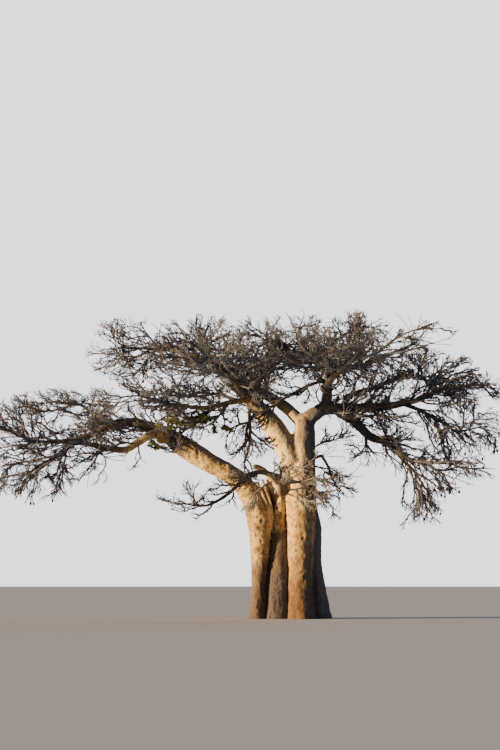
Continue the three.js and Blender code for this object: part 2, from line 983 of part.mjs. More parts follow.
// Leaves out the joints of a twig that a straight run passes close to, apart from its forks.
function straightened(twig, joints, grown) {
  const kept = [0];
  let from = 0;
  for (let to = 2; to < twig.length; to += 1) {
    const run = new THREE.Line3(joints[twig[from]].place, joints[twig[to]].place);
    const bowed = twig.slice(from + 1, to).some((j) => {
      run.closestPointToPoint(joints[j].place, true, nearest);
      return nearest.distanceTo(joints[j].place) > STRAIGHTEN;
    });
    const fork = grown[twig[to - 1]].length > 1;
    if (bowed || fork) {
      kept.push(to - 1);
      from = to - 1;
    }
  }
  kept.push(twig.length - 1);
  return kept.map((i) => twig[i]);
}

// A leaf: a blade of eight faces, pointed at both ends, standing off its twig.
function leafSolid(place, direction, random) {
  const blade = new THREE.OctahedronGeometry(1);
  blade.scale(LEAF_LENGTH / 2, LEAF_WIDTH / 2, LEAF_THICKNESS / 2);
  blade.translate(LEAF_LENGTH * LEAF_OFFSET, 0, 0);
  const turned = new THREE.Quaternion().setFromUnitVectors(new THREE.Vector3(1, 0, 0), direction);
  const rolled = new THREE.Quaternion().setFromAxisAngle(direction, random() * Math.PI);
  blade.applyQuaternion(rolled.multiply(turned)).translate(place.x, place.y, place.z);
  return solidOf(blade.scale(MM_PER_M, MM_PER_M, MM_PER_M));
}

// A hanging fruit: an egg of few faces with its top sunk on the twig's tip.
function fruitSolid(place) {
  const fruit = new THREE.SphereGeometry(1, FRUIT_SIDES, FRUIT_RINGS).rotateX(Math.PI / 2);
  fruit.scale(FRUIT_RADIUS, FRUIT_RADIUS, FRUIT_LENGTH / 2);
  fruit.translate(place.x, place.y, place.z - FRUIT_LENGTH * FRUIT_DROP);
  return solidOf(fruit.scale(MM_PER_M, MM_PER_M, MM_PER_M));
}

// Leaves on alternate sides of the outer twigs, and fruit under a few of the tips.
function ornaments(name, twigs, joints, random) {
  const { leaves = 0, fruit = 0 } = MASSES[name];
  const outer = twigs.flatMap((twig) => twig.slice(-LEAFY_JOINTS).map((joint) => joints[joint].place));
  const made = [];
  for (let i = 0; i < leaves; i += 1) {
    const place = outer[Math.floor(random() * outer.length)];
    const turn = random() * Math.PI * 2;
    const droop = THREE.MathUtils.lerp(...LEAF_DROOP, random());
    const direction = new THREE.Vector3(Math.cos(turn), Math.sin(turn), droop).normalize();
    if (clearOfLimbs(place.clone().addScaledVector(direction, LEAF_LENGTH))) {
      made.push(leafSolid(place, direction, random));
    }
  }
  const tips = twigs.map((twig) => joints[twig.at(-1)].place).sort((a, b) => a.z - b.z);
  for (let i = 0; i < fruit; i += 1) made.push(fruitSolid(tips[i]));
  return made;
}

// One mass: its twigs joined into one solid, cut clear of the limb that carries it.
function massSolid(name, seed, limbsClear) {
  const joints = growTwigs(name, seed);
  const { radius } = stems[name];
  const { twigs, tips, grown } = twigsOf(joints);
  const thinning = Math.log(radius / TWIG_TIP_RADIUS) / Math.log(Math.max(2, tips[0]));
  const random = seeded(seed + ORNAMENT_SEED);
  const tubes = twigs.map((twig) => {
    const kept = straightened(twig, joints, grown);
    const points = kept.map((joint) => joints[joint].place);
    const radii = kept.map((joint) => TWIG_TIP_RADIUS * tips[joint] ** thinning);
    if (twig[0] !== 0) radii[0] = TWIG_TIP_RADIUS * tips[twig[1]] ** thinning;
    radii[radii.length - 1] = 0;
    return taperedTube(points, radii, TWIG_SIDES);
  });
  const whole = wasm.Manifold.union([...tubes, ...ornaments(name, twigs, joints, random)]);
  return largestBody(whole.subtract(limbsClear));
}

// Puts one named piece into the tree.
function addPiece(tree, name, solid, material) {
  const mesh = new THREE.Mesh(geometryOf(solid), material);
  mesh.name = name;
  tree.add(mesh);
}

function baobab() {
  const tree = new THREE.Group();
  tree.name = "baobab";
  addPiece(tree, "trunk", trunkSolid(), MATERIALS.bark);
  const { made, cleared } = makeLimbs(trunkSolid(CLEARANCE));
  for (const [name, solid] of Object.entries(made)) addPiece(tree, name, solid, MATERIALS.limb);
  const limbsClear = wasm.Manifold.union(cleared);
  Object.keys(MASSES).forEach((name, i) => {
    const material = MASSES[name].leaves ? MATERIALS.leafy : MATERIALS.twig;
    addPiece(tree, name, massSolid(name, i + 1, limbsClear), material);
  });
  return tree;
}

export default baobab();
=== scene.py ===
"""The looks of a bare baobab: a trunk of grown-together stems with pale, pitted bark, long boughs,
and a flat-topped crown of stout twigs that grow on from the boughs by a seeded rule.

Z is up, X runs to the right of the trunk and -Y towards the camera. The origin is at ground level
in the middle of the main stems. Sizes are metres, unless the name of a value says mm.
"""

import itertools
import json
import logging
import math
from dataclasses import dataclass, field
from enum import Enum

import bpy
import numpy as np
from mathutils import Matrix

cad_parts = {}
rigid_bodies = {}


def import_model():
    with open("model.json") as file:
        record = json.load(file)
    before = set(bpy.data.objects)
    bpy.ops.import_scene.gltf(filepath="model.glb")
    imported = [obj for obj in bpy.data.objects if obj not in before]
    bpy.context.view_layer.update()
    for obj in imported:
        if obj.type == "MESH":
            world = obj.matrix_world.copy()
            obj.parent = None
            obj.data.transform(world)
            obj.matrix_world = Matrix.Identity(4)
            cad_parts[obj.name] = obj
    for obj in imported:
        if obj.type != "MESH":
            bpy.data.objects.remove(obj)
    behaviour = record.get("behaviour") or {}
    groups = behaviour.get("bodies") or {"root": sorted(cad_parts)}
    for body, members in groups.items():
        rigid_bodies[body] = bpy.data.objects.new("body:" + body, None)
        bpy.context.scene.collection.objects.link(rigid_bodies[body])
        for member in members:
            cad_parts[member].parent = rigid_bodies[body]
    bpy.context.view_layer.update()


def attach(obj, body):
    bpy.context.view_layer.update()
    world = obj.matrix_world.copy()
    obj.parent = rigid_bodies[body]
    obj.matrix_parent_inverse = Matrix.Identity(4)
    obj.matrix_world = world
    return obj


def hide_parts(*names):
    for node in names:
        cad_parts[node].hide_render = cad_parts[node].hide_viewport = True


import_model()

MM = 0.001
Point = tuple[float, float, float]

# How twigs fork: a step's length, what a turn and the way back to the limb cost, how far a twig
# keeps to the heading of the one that it leaves, and how it rises on the way
TWIG_STEP = 0.35
LEAST_TWIG = 0.4
LIMB_MARGIN = 0.06
STEM_MARGIN = 0.16
SPACE_MARGIN = 0.05
TURN_COST = 0.8
TRAVEL_COST = 0.5
SET_OUT = 0.45
UPTURN = -0.15
MOST_TURN = 1.1
MOST_TRIES = 8

# The spaces of the masses: how square they are, and where in them the main twigs end
SPACE_POWER = 2.4
OUTLINE_SHARE = 0.7
OUTLINE_REACH = 0.985
INNER_REACH = (0.3, 0.85)
GOLDEN_ANGLE = math.pi * (3 - math.sqrt(5))

# The stem of a mass on a limb's flank or tip
FLANK_STEM_RADIUS = 0.06
FLANK_STEM_SHARE = 0.6
TIP_STEM_SHARE = 0.88
TIP_HEADING = 0.6
STEM_STATIONS = 100
MOST_STEM_JOINTS = 12
CAPSULES_PER_LIMB = 12

# The flare of the foot
FLARE_SHARE = 0.2
FLARE_HEIGHT = 0.45


@dataclass(frozen=True)
class Limb:
    """A bough or branch: its radius at the root and at the tip, the points that it passes, how
    grey-brown its bark is all round and from which share of its length in full (-1 where the girth
    tells that), partly its own colour and partly a painted shade where the crown or the forks shade
    it, and a swelling: its distance from the root, half width and how much thicker."""

    root: float
    tip: float
    route: tuple[Point, ...]
    worn_and_shaded: tuple[float, float] = (-1, 0)
    swelling: tuple[float, float, float] | None = None


@dataclass(frozen=True)
class Mass:
    """A mass of twigs: the limb that bears it and the share of its length where it starts, the
    middle and half sizes of its space, how many main twigs reach out in it, how densely the space
    is filled, how far out the finer twigs reach in it, how wide they spread (at 1 they leave at
    their full angles, and at less they run side by side), their shade, which paints shade or light
    on them (above 0 more sprays are dark, below 0 fewer), how the twigs arch, and how many tips
    bear fruit. A mass on the trunk starts at a place of its own and passes through a second one."""

    on: str
    at: float | None
    middle: Point
    half: Point
    ends: int
    twigs: float = 0.8
    reach: float = 1.0
    spread: float = 1.0
    shade: float = 0.0
    arch: float = UPTURN
    fruit: int = 0
    start: Point = (0, 0, 0)
    through: Point = (0, 0, 0)


# The stems of the trunk, as (x, y, z, radius) from the ground up
STEMS = {
    "left": (
        (-1.17, -0.05, 0, 0.28), (-1.12, -0.05, 1.4, 0.26), (-1.08, -0.05, 2.6, 0.34),
        (-1.1, -0.05, 3.5, 0.42), (-1.32, -0.05, 4.1, 0.38), (-1.56, -0.08, 4.6, 0.39),
    ),
    "middle": (
        (-0.5, 0.12, 0, 0.45), (-0.44, 0.12, 1.4, 0.41), (-0.39, 0.12, 2.6, 0.31),
        (-0.39, 0.1, 3.7, 0.26), (-0.28, 0.05, 4.4, 0.26), (-0.1, 0, 5, 0.31), (0.1, 0, 5.6, 0.36),
    ),
    "main": (
        (0.39, -0.1, 0, 0.45), (0.38, -0.1, 1.4, 0.43), (0.39, -0.1, 2.8, 0.48),
        (0.4, -0.05, 4.2, 0.53), (0.46, 0, 5.5, 0.46), (0.5, 0, 6.4, 0.41), (0.56, 0, 7.05, 0.35),
    ),
    "right": (
        (1, 0.35, 0, 0.42), (0.9, 0.32, 1, 0.37), (0.78, 0.3, 2.2, 0.34), (0.75, 0.25, 3.2, 0.38),
        (0.64, 0.15, 3.9, 0.31), (0.52, 0.05, 4.6, 0.28),
    ),
    "rear": (
        (0.2, 0.8, 0, 0.5), (0.25, 0.65, 1.8, 0.43), (0.35, 0.4, 3.4, 0.38), (0.43, 0.12, 4.8, 0.32),
    ),
    "rear_left": (
        (-0.75, 0.6, 0, 0.42), (-0.8, 0.45, 1.6, 0.34), (-0.95, 0.22, 3, 0.3), (-1.12, 0, 3.9, 0.24),
    ),
    "prop": (
        (-1.05, -0.1, 4.3, 0.1), (-0.82, -0.1, 3.8, 0.11), (-0.62, 0, 3.1, 0.1),
    ),
}

# Boughs and branches, each one tapering limb
LIMBS = {
    "bough_left": Limb(0.36, 0.21, (
        (-1.56, -0.08, 4.6), (-1.97, -0.15, 5.03), (-2.9, -0.25, 5.55), (-3.74, -0.3, 6.07),
        (-4.44, -0.35, 6.55), (-4.98, -0.35, 6.81),
    ), (0.95, 0.72), (2.6, 1, 0.42)),
    "bough_left_arch": Limb(0.19, 0.145, (
        (-4.98, -0.35, 6.81), (-5.64, -0.35, 7), (-6.4, -0.3, 6.94),
    ), (0.95, 0)),
    "bough_left_low": Limb(0.135, 0.075, (
        (-6.4, -0.3, 6.94), (-7, -0.4, 6.61), (-7.68, -0.4, 6.36), (-8.7, -0.2, 6.3),
    ), (0.9, 0)),
    "bough_left_crest": Limb(0.11, 0.065, (
        (-6.3, -0.25, 6.96), (-7, 0.4, 7.3), (-7.51, 1.2, 7.69),
    ), (0.9, 0)),
    "bough_left_sag": Limb(0.18, 0.085, (
        (-4.25, -0.35, 6.45), (-4.94, -0.8, 6.52), (-5.42, -0.95, 6.23), (-5.87, -1.15, 5.96),
        (-6.52, -1.4, 6.02), (-7.27, -1.7, 6.15),
    ), (0.7, 0.7)),
    "fork_left": Limb(0.5, 0.24, (
        (0.45, 0, 4.9), (0.05, 0, 5.75), (-0.35, 0, 6.55), (-0.93, 0, 7.31), (-1.33, -0.05, 7.76),
        (-1.62, 0, 8.17),
    ), (0.85, 0.35)),
    "bough_upper_left": Limb(0.19, 0.08, (
        (-1.62, 0, 8.17), (-2.24, 0.3, 8.93), (-3.27, 0.6, 9.44), (-4.31, 0.9, 9.78),
    ), (0.5, 0)),
    "bough_mid_left": Limb(0.12, 0.06, (
        (-1.35, -0.1, 7.85), (-2.08, -0.8, 7.69), (-3.03, -1.5, 7.41), (-4.16, -2.2, 7.48),
    ), (0.35, 0)),
    "bough_hub": Limb(0.14, 0.07, (
        (-1.35, -0.05, 7.95), (-1.1, 0.2, 8.77), (-0.78, 0.3, 9.4),
    ), (0.5, 0)),
    "bough_front_left": Limb(0.16, 0.075, (
        (-1.5, -0.05, 8), (-1.8, -1.1, 8.2), (-1.95, -2.4, 8.3), (-2.58, -4.4, 8.56),
    )),
    "bough_back_left": Limb(0.22, 0.08, (
        (0.5, 0.1, 6.95), (-0.1, 0.2, 7.55), (-0.85, 0.9, 8.1), (-1.63, 2.6, 8.76), (-2.53, 4.6, 9.38),
    ), (0.8, 0)),
    "bough_back": Limb(0.12, 0.065, ((-0.9, 1.35, 8.15), (-0.76, 3, 9.09), (-0.46, 5.2, 9.84))),
    "fork_right": Limb(0.3, 0.24, ((0.55, 0, 7.05), (0.87, 0, 7.31), (1.33, 0, 7.6)), (0.6, 0)),
    "upright": Limb(0.2, 0.13, (
        (1.31, 0, 7.6), (1.36, 0, 8.13), (1.4, 0.06, 8.7), (1.6, 0.2, 9.1),
    ), (0.8, 0)),
    "bough_right": Limb(0.16, 0.07, (
        (1.3, -0.02, 7.57), (2.25, -0.28, 7.51), (2.98, -0.4, 7.54), (3.55, -0.45, 7.58),
        (4.11, -0.5, 7.68), (4.68, -0.3, 7.83), (5.4, 0, 8.25),
    ), (0.55, 0), (1.2, 1.6, 0.3)),
    "bough_right_low": Limb(0.17, 0.085, (
        (1.4, -0.1, 7.56), (1.86, -0.4, 7.37), (2.36, -0.8, 6.93), (2.79, -1.05, 6.46),
        (3.38, -1.45, 6.17), (4, -1.9, 5.63),
    ), (0.6, 0), (1.4, 1.4, 0.3)),
    "bough_top": Limb(0.1, 0.06, ((1.6, 0.2, 9.1), (2, 0.2, 9.6), (2.45, 0.1, 10.05)), (0.5, 0)),
    "bough_centre": Limb(0.1, 0.06, ((1.4, 0.08, 8.75), (0.88, 0.1, 9.24), (0.49, 0.2, 9.6)), (0.5, 0)),
    "bough_front_right": Limb(0.14, 0.07, (
        (1.25, 0, 8.25), (1.45, -1.1, 8.45), (1.63, -2.4, 8.55), (1.98, -4.8, 8.68),
    )),
    "bough_back_centre": Limb(0.12, 0.065, ((1.5, 0.12, 8.95), (1.77, 2.4, 9.5), (2.01, 5.2, 10))),
    "bough_upper_right": Limb(0.115, 0.065, (
        (1.55, 0.15, 9), (2.57, 0.3, 9.1), (3.49, 0.5, 9.5), (4.2, 0.6, 9.77),
    ), (0.5, 0)),
    "bough_back_right": Limb(0.13, 0.065, (
        (1.9, -0.2, 7.52), (2.1, 0.4, 7.95), (2.6, 1.4, 8.25), (3.3, 2.9, 8.6), (4.2, 4.8, 9.17),
    )),
    "branch_weeping": Limb(0.075, 0.045, (
        (4, -0.5, 7.68), (4.95, -1.1, 7.19), (5.66, -1.7, 6.64),
    ), (0.8, 0)),
    "branch_low_left": Limb(0.12, 0.05, (
        (0.2, -0.1, 4.95), (-0.12, -0.35, 4.97), (-0.57, -0.7, 5.07), (-1.06, -0.85, 5.18),
        (-1.41, -0.95, 5.09), (-1.8, -1, 4.79), (-2.17, -1, 4.44), (-2.6, -1, 4.15), (-2.93, -1, 4),
    ), (0.95, 0)),
    "branch_crossing": Limb(0.07, 0.04, (
        (1.38, 0.05, 8.55), (0.85, -0.35, 8.4), (0.1, -0.75, 8), (-0.6, -0.95, 7.55), (-1.05, -1, 7.2),
    ), (0.85, 0)),
}

# Masses of twigs
MASSES = {
    "twigs_left_low": Mass(
        "bough_left_sag", 1, (-8.98, -1.8, 5.19), (1.65, 1.9, 1), 11, 1.1, 1, 0.8, 0.5, arch=0.12,
        fruit=3,
    ),
    "twigs_left_tip": Mass(
        "bough_left_low", 1, (-9.79, 0.6, 6.92), (1.2, 2, 0.95), 12, 1.6, 1, 0.9, 0.5, fruit=2,
    ),
    "twigs_left_crest": Mass(
        "bough_left_crest", 1, (-8.4, 2.4, 7.8), (1.95, 2, 0.62), 14, 1.2, 1, 1, 0.5,
    ),
    "twigs_left_under": Mass("bough_left_sag", 0.75, (-7.05, -2.1, 5.46), (1.3, 1.3, 0.8), 10, 0.5),
    "twigs_left_core": Mass(
        "bough_left_arch", 0.8, (-7.2, 2.4, 7), (1.4, 1.6, 0.62), 10, 2.2, 1, 1, 0.5,
    ),
    "twigs_mid_left": Mass("bough_mid_left", 1, (-4.88, -2.9, 7.62), (2.2, 2, 0.62), 15, 0.9),
    "twigs_mid_left_back": Mass("fork_left", 0.86, (-4.05, 2.7, 8.48), (1.8, 2, 0.5), 11, 0.9),
    "twigs_upper_left_tip": Mass(
        "bough_upper_left", 1, (-5.83, 1.2, 9.81), (1.65, 2.4, 1.15), 16, 1, fruit=3,
    ),
    "twigs_upper_left": Mass("bough_upper_left", 0.55, (-3.4, 0.4, 9.99), (1.5, 2, 1), 12, 1),
    "twigs_hub": Mass("bough_hub", 1, (-1, 0, 9.89), (1.5, 2, 1), 16, 0.9, 1, 0.9, -0.5),
    "twigs_front_left": Mass("bough_front_left", 1, (-2.7, -5.2, 8.86), (2.2, 2.2, 0.9), 14),
    "twigs_front_mid_left": Mass("bough_front_left", 0.5, (-3, -2.9, 9), (1.9, 1.4, 0.7), 10, 0.7),
    "twigs_back_left": Mass("bough_back_left", 1, (-3, 5.4, 9.8), (2.2, 2.3, 1.1), 14, 0.6),
    "twigs_back": Mass("bough_back", 1, (-0.5, 6.1, 10.2), (1.9, 2, 1.1), 11, 0.5),
    "twigs_centre": Mass("bough_centre", 1, (0.5, 0.3, 9.95), (1.5, 1.9, 1.1), 22, 0.6, 0.95, 1, -0.5),
    "twigs_top": Mass("bough_top", 1, (2.4, 0.1, 10.25), (1.4, 1.8, 0.86), 20, 0.45, 0.88, 1, -0.5),
    "twigs_front_right": Mass("bough_front_right", 1, (2.31, -5.2, 9.03), (2.2, 2.2, 0.9), 14, 0.7),
    "twigs_front_centre": Mass("bough_front_right", 0.5, (0.6, -3.2, 9.2), (1.9, 1.5, 0.75), 10, 0.7),
    "twigs_back_centre": Mass("bough_back_centre", 1, (2.3, 6.1, 10.3), (1.9, 2, 1.05), 11, 0.5),
    "twigs_back_middle": Mass("bough_back_centre", 0.5, (0.5, 3.2, 9.75), (2.2, 1.5, 0.8), 11, 0.5),
    "twigs_back_right": Mass("bough_back_right", 1, (4.7, 5.3, 9.45), (2, 2.1, 1), 12, 0.6),
    "twigs_upper_right": Mass("bough_upper_right", 1, (4.45, 1.1, 10.38), (1.65, 2.2, 0.6), 14, 0, 0.6),
    "twigs_right_shoulder": Mass(
        "bough_right", 0.86, (5.49, 1.6, 9.06), (1.5, 2, 0.7), 12, 1.2, 1, 0.8, 0.6,
    ),
    "twigs_right_tip": Mass(
        "bough_right", 1, (6.61, -0.2, 8.21), (1.1, 1.8, 0.55), 10, 1.2, 1, 0.8, 0.6, fruit=3,
    ),
    "twigs_weeping": Mass(
        "branch_weeping", 1, (6.03, -2.2, 6.73), (1.25, 1.9, 1.15), 14, 1.1, 1, 0.8, 0.6, arch=0.3,
        fruit=9,
    ),
    "twigs_right_fan": Mass(
        "bough_right_low", 1, (5.39, -2.6, 5.29), (1.6, 1.9, 0.82), 14, 0.7, 1, 0.8, 1, arch=0.12,
        fruit=10,
    ),
    "twigs_right_hanging": Mass(
        "bough_right_low", 0.84, (4.65, -1.9, 4.5), (0.95, 1, 0.86), 8, 0.7, 1, 0.9, 1, arch=0.2,
        fruit=4,
    ),
    "twigs_under_right": Mass(
        "bough_right", 0.45, (3.56, -1, 6.91), (1.4, 1.4, 0.58), 10, 0.3, 1, 0.9, 0.8, arch=0.25,
    ),
    "twigs_under_low": Mass(
        "bough_right_low", 0.5, (2.7, -1.3, 5.95), (0.8, 0.8, 0.58), 8, 0.8, 1, 0.8, 1,
    ),
    "twigs_trunk_right": Mass(
        "trunk", None, (1.75, 0, 5.15), (0.85, 0.9, 1.4), 10, 0.4, 0.4, 0.9, -1, start=(0.5, 0, 5.6),
        through=(1.1, -0.02, 5.85),
    ),
    "twigs_trunk_front": Mass(
        "trunk", None, (0.4, -0.85, 4.95), (0.75, 0.4, 0.4), 8, 3, start=(0.4, -0.1, 4.8),
        through=(0.4, -0.7, 4.9),
    ),
    "twigs_low_left": Mass("branch_low_left", 1, (-3.5, -1.1, 4.3), (1.25, 0.9, 0.55), 8),
    "twigs_hanging": Mass("fork_left", 0.8, (-1.6, -0.3, 6.7), (0.9, 0.8, 1), 8, arch=0.2),
    "spray_in_leaf": Mass("bough_mid_left", 0.45, (-3.5, -1.4, 6.85), (1.3, 0.8, 0.55), 8),
}


class Seeded:
    """Numbers from 0 to 1 that follow from a seed, the same on every run."""

    MASK = 0xFFFFFFFF
    STEP = 0x6D2B79F5

    def __init__(self, seed: int) -> None:
        """Starts the sequence at a seed."""
        self.state = seed & self.MASK

    def draw(self) -> float:
        """Returns: the next number, from 32-bit mixing of the running state."""
        self.state = (self.state + self.STEP) & self.MASK
        mixed = ((self.state ^ (self.state >> 15)) * (self.state | 1)) & self.MASK
        mixed ^= (mixed + (mixed ^ (mixed >> 7)) * (mixed | 61)) & self.MASK
        return (mixed ^ (mixed >> 14)) / 2**32


def unit(vectors: np.ndarray) -> np.ndarray:
    """Returns: the vectors along the last axis, brought to length one."""
    return vectors / np.maximum(np.linalg.norm(vectors, axis=-1, keepdims=True), 1e-9)


def lerp(a: np.ndarray | float, b: np.ndarray | float, share: np.ndarray | float) -> np.ndarray | float:
    """Returns: the value a share of the way from a to b."""
    return a + (b - a) * share


def smooth_step(low: float, high: float, value: np.ndarray) -> np.ndarray:
    """Returns: 0 below low, 1 above high and the curve 3t² - 2t³ between them."""
    t = np.clip((value - low) / (high - low), 0, 1)
    return t * t * (3 - 2 * t)


def window(value: np.ndarray, start: float, full: float, fade: float, gone: float) -> np.ndarray:
    """Returns: 0 up to start, 1 from full to fade and 0 from gone, eased in between."""
    return smooth_step(start, full, value) * smooth_step(gone, fade, value)


def value_noise(points: np.ndarray, seed: int) -> np.ndarray:
    """Smooth noise of one octave: a hashed value at each corner of the unit lattice, blended over
    each cell by 3t² - 2t³ along the three axes.

    Args:
        points: places in lattice units, shape (n, 3).
        seed: picks the pattern.

    Returns: values from -1 to 1, shape (n,).
    """
    cell = np.floor(points).astype(np.int64)
    share = points - cell
    share = share * share * (3 - 2 * share)
    total = np.zeros(len(points))
    for corner in itertools.product((0, 1), repeat=3):
        at = cell + corner
        mixed = at[:, 0] * 374761393 + at[:, 1] * 668265263 + at[:, 2] * 1440662683 + seed * 974711
        mixed &= 0xFFFFFFFF
        mixed = ((mixed ^ (mixed >> 13)) * 1274126177) & 0xFFFFFFFF
        value = ((mixed ^ (mixed >> 16)) & 0xFFFF) / 32767.5 - 1
        total += value * np.prod(np.where(corner, share, 1 - share), axis=1)
    return total


def layered_noise(points: np.ndarray, size: Point, seed: int, layers: int = 3) -> np.ndarray:
    """Sums octaves of value noise, each half as large and half as strong as the one before.

    Args:
        points: places in metres, shape (n, 3).
        size: the size of the largest lumps along X, Y and Z, in metres.
        seed: picks the pattern.
        layers: how many octaves.

    Returns: values from about -1 to 1, shape (n,).
    """
    total = np.zeros(len(points))
    for layer in range(layers):
        total += value_noise(points * 2**layer / np.array(size), seed + layer) / 2**layer
    return total / (2 - 2 ** (1 - layers))


@dataclass
class SmoothLine:
    """A centripetal Catmull-Rom line through a few points of any number of coordinates."""

    points: np.ndarray
    DIVISIONS = 200

    def at(self, shares: np.ndarray) -> np.ndarray:
        """The line at some shares of its parameter: a cubic on each span, whose tangents follow
        from the square roots of the distances between neighbouring points.

        Args:
            shares: parameters from 0 to 1.

        Returns: places, shape (len(shares), coordinates).
        """
        given = self.points
        padded = np.vstack([2 * given[0] - given[1], given, 2 * given[-1] - given[-2]])
        place = np.asarray(shares) * (len(given) - 1)
        span = np.minimum(np.floor(place).astype(int), len(given) - 2)
        t = (place - span)[:, None]
        p0, p1, p2, p3 = (padded[span + i] for i in range(4))
        d0, d1, d2 = (
            np.maximum(np.linalg.norm(b - a, axis=1, keepdims=True) ** 0.5, 1e-4)
            for a, b in ((p0, p1), (p1, p2), (p2, p3))
        )
        start = ((p1 - p0) / d0 - (p2 - p0) / (d0 + d1) + (p2 - p1) / d1) * d1
        end = ((p2 - p1) / d1 - (p3 - p1) / (d1 + d2) + (p3 - p2) / d2) * d1
        square = -3 * p1 + 3 * p2 - 2 * start - end
        cube = 2 * p1 - 2 * p2 + start + end
        return p1 + start * t + square * t**2 + cube * t**3

    def spaced(self, steps: int) -> np.ndarray:
        """Args: steps, the number of spans. Returns: evenly spaced places, steps + 1 of them."""
        shares = np.linspace(0, 1, self.DIVISIONS + 1)
        along = self.at(shares)
        lengths = np.concatenate([[0], np.cumsum(np.linalg.norm(np.diff(along, axis=0), axis=1))])
        return self.at(np.interp(np.linspace(0, lengths[-1], steps + 1), lengths, shares))


def limb_line(name: str, steps: int) -> tuple[np.ndarray, np.ndarray]:
    """Returns: evenly spaced places along a limb and its radius at each, from root to tip."""
    limb = (LIMBS | PROPS | BRANCHES)[name]
    places = SmoothLine(np.array(limb.route, float)).spaced(steps)
    return places, np.linspace(limb.root, limb.tip, steps + 1)


@dataclass
class Surface:
    """A mesh in the making: its vertices, and its faces as rows of three or four vertex numbers."""

    vertices: np.ndarray
    quads: np.ndarray
    triangles: np.ndarray
    values: dict[str, np.ndarray] = field(default_factory=dict)
    slots: np.ndarray | None = None

    @staticmethod
    def joined(parts: list["Surface"]) -> "Surface":
        """Returns: all the parts as one surface, with their material slots kept."""
        starts = np.cumsum([0] + [len(part.vertices) for part in parts[:-1]])
        quads = [part.quads + start for part, start in zip(parts, starts)]
        triangles = [part.triangles + start for part, start in zip(parts, starts)]
        slots = None
        if all(part.slots is not None for part in parts):
            quad_slots = [part.slots[: len(part.quads)] for part in parts]
            triangle_slots = [part.slots[len(part.quads) :] for part in parts]
            slots = np.concatenate(quad_slots + triangle_slots)
        vertices = np.vstack([part.vertices for part in parts])
        return Surface(vertices, np.vstack(quads), np.vstack(triangles), {}, slots)

    def count(self) -> int:
        """Returns: how many triangles the surface has."""
        return 2 * len(self.quads) + len(self.triangles)

    def normals(self) -> np.ndarray:
        """Returns: each vertex's outward direction, the sum of its faces' area vectors."""
        p = self.vertices
        q, t = self.quads, self.triangles
        quad_area = np.cross(p[q[:, 2]] - p[q[:, 0]], p[q[:, 3]] - p[q[:, 1]])
        triangle_area = np.cross(p[t[:, 1]] - p[t[:, 0]], p[t[:, 2]] - p[t[:, 0]])
        corners = np.concatenate([q.ravel(), t.ravel()])
        areas = np.vstack([np.repeat(quad_area, 4, axis=0), np.repeat(triangle_area, 3, axis=0)])
        summed = [np.bincount(corners, areas[:, axis], len(p)) for axis in range(3)]
        return unit(np.stack(summed, axis=1))

    def neighbour_mean(self, values: np.ndarray) -> np.ndarray:
        """Returns: at each vertex the mean of the values, shape (n, k), at its neighbours."""
        q, t = self.quads, self.triangles
        a = np.concatenate([q.ravel(), t.ravel()])
        b = np.concatenate([np.roll(q, -1, axis=1).ravel(), np.roll(t, -1, axis=1).ravel()])
        size = len(self.vertices)
        number = np.maximum(np.bincount(a, minlength=size) + np.bincount(b, minlength=size), 1)
        sums = [
            np.bincount(a, values[b, axis], size) + np.bincount(b, values[a, axis], size)
            for axis in range(values.shape[1])
        ]
        return np.stack(sums, axis=1) / number[:, None]

    def to_object(self, name: str, finishes: list["bpy.types.Material"]) -> "bpy.types.Object":
        """Puts the surface into a mesh by foreach_set.

        Args:
            name: the piece's name.
            finishes: its materials, one for each slot.

        Returns: the new object, at the origin.
        """
        mesh = bpy.data.meshes.new(name)
        mesh.vertices.add(len(self.vertices))
        mesh.vertices.foreach_set("co", self.vertices.astype(np.float32).ravel())
        corners = np.concatenate([self.quads.ravel(), self.triangles.ravel()])
        mesh.loops.add(len(corners))
        mesh.loops.foreach_set("vertex_index", corners.astype(np.int32))
        sizes = np.concatenate([np.full(len(self.quads), 4), np.full(len(self.triangles), 3)])
        starts = np.concatenate([[0], np.cumsum(sizes)[:-1]])
        mesh.polygons.add(len(sizes))
        mesh.polygons.foreach_set("loop_start", starts.astype(np.int32))
        if self.slots is not None:
            mesh.polygons.foreach_set("material_index", self.slots.astype(np.int32))
        for value_name, values in self.values.items():
            attribute = mesh.attributes.new(value_name, "FLOAT", "POINT")
            attribute.data.foreach_set("value", values.astype(np.float32))
        mesh.update(calc_edges=True)
        mesh.validate()
        mesh.polygons.foreach_set("use_smooth", np.ones(len(mesh.polygons), bool))
        for finish in finishes:
            mesh.materials.append(finish)
        piece = bpy.data.objects.new(name, mesh)
        bpy.context.scene.collection.objects.link(piece)
        return piece


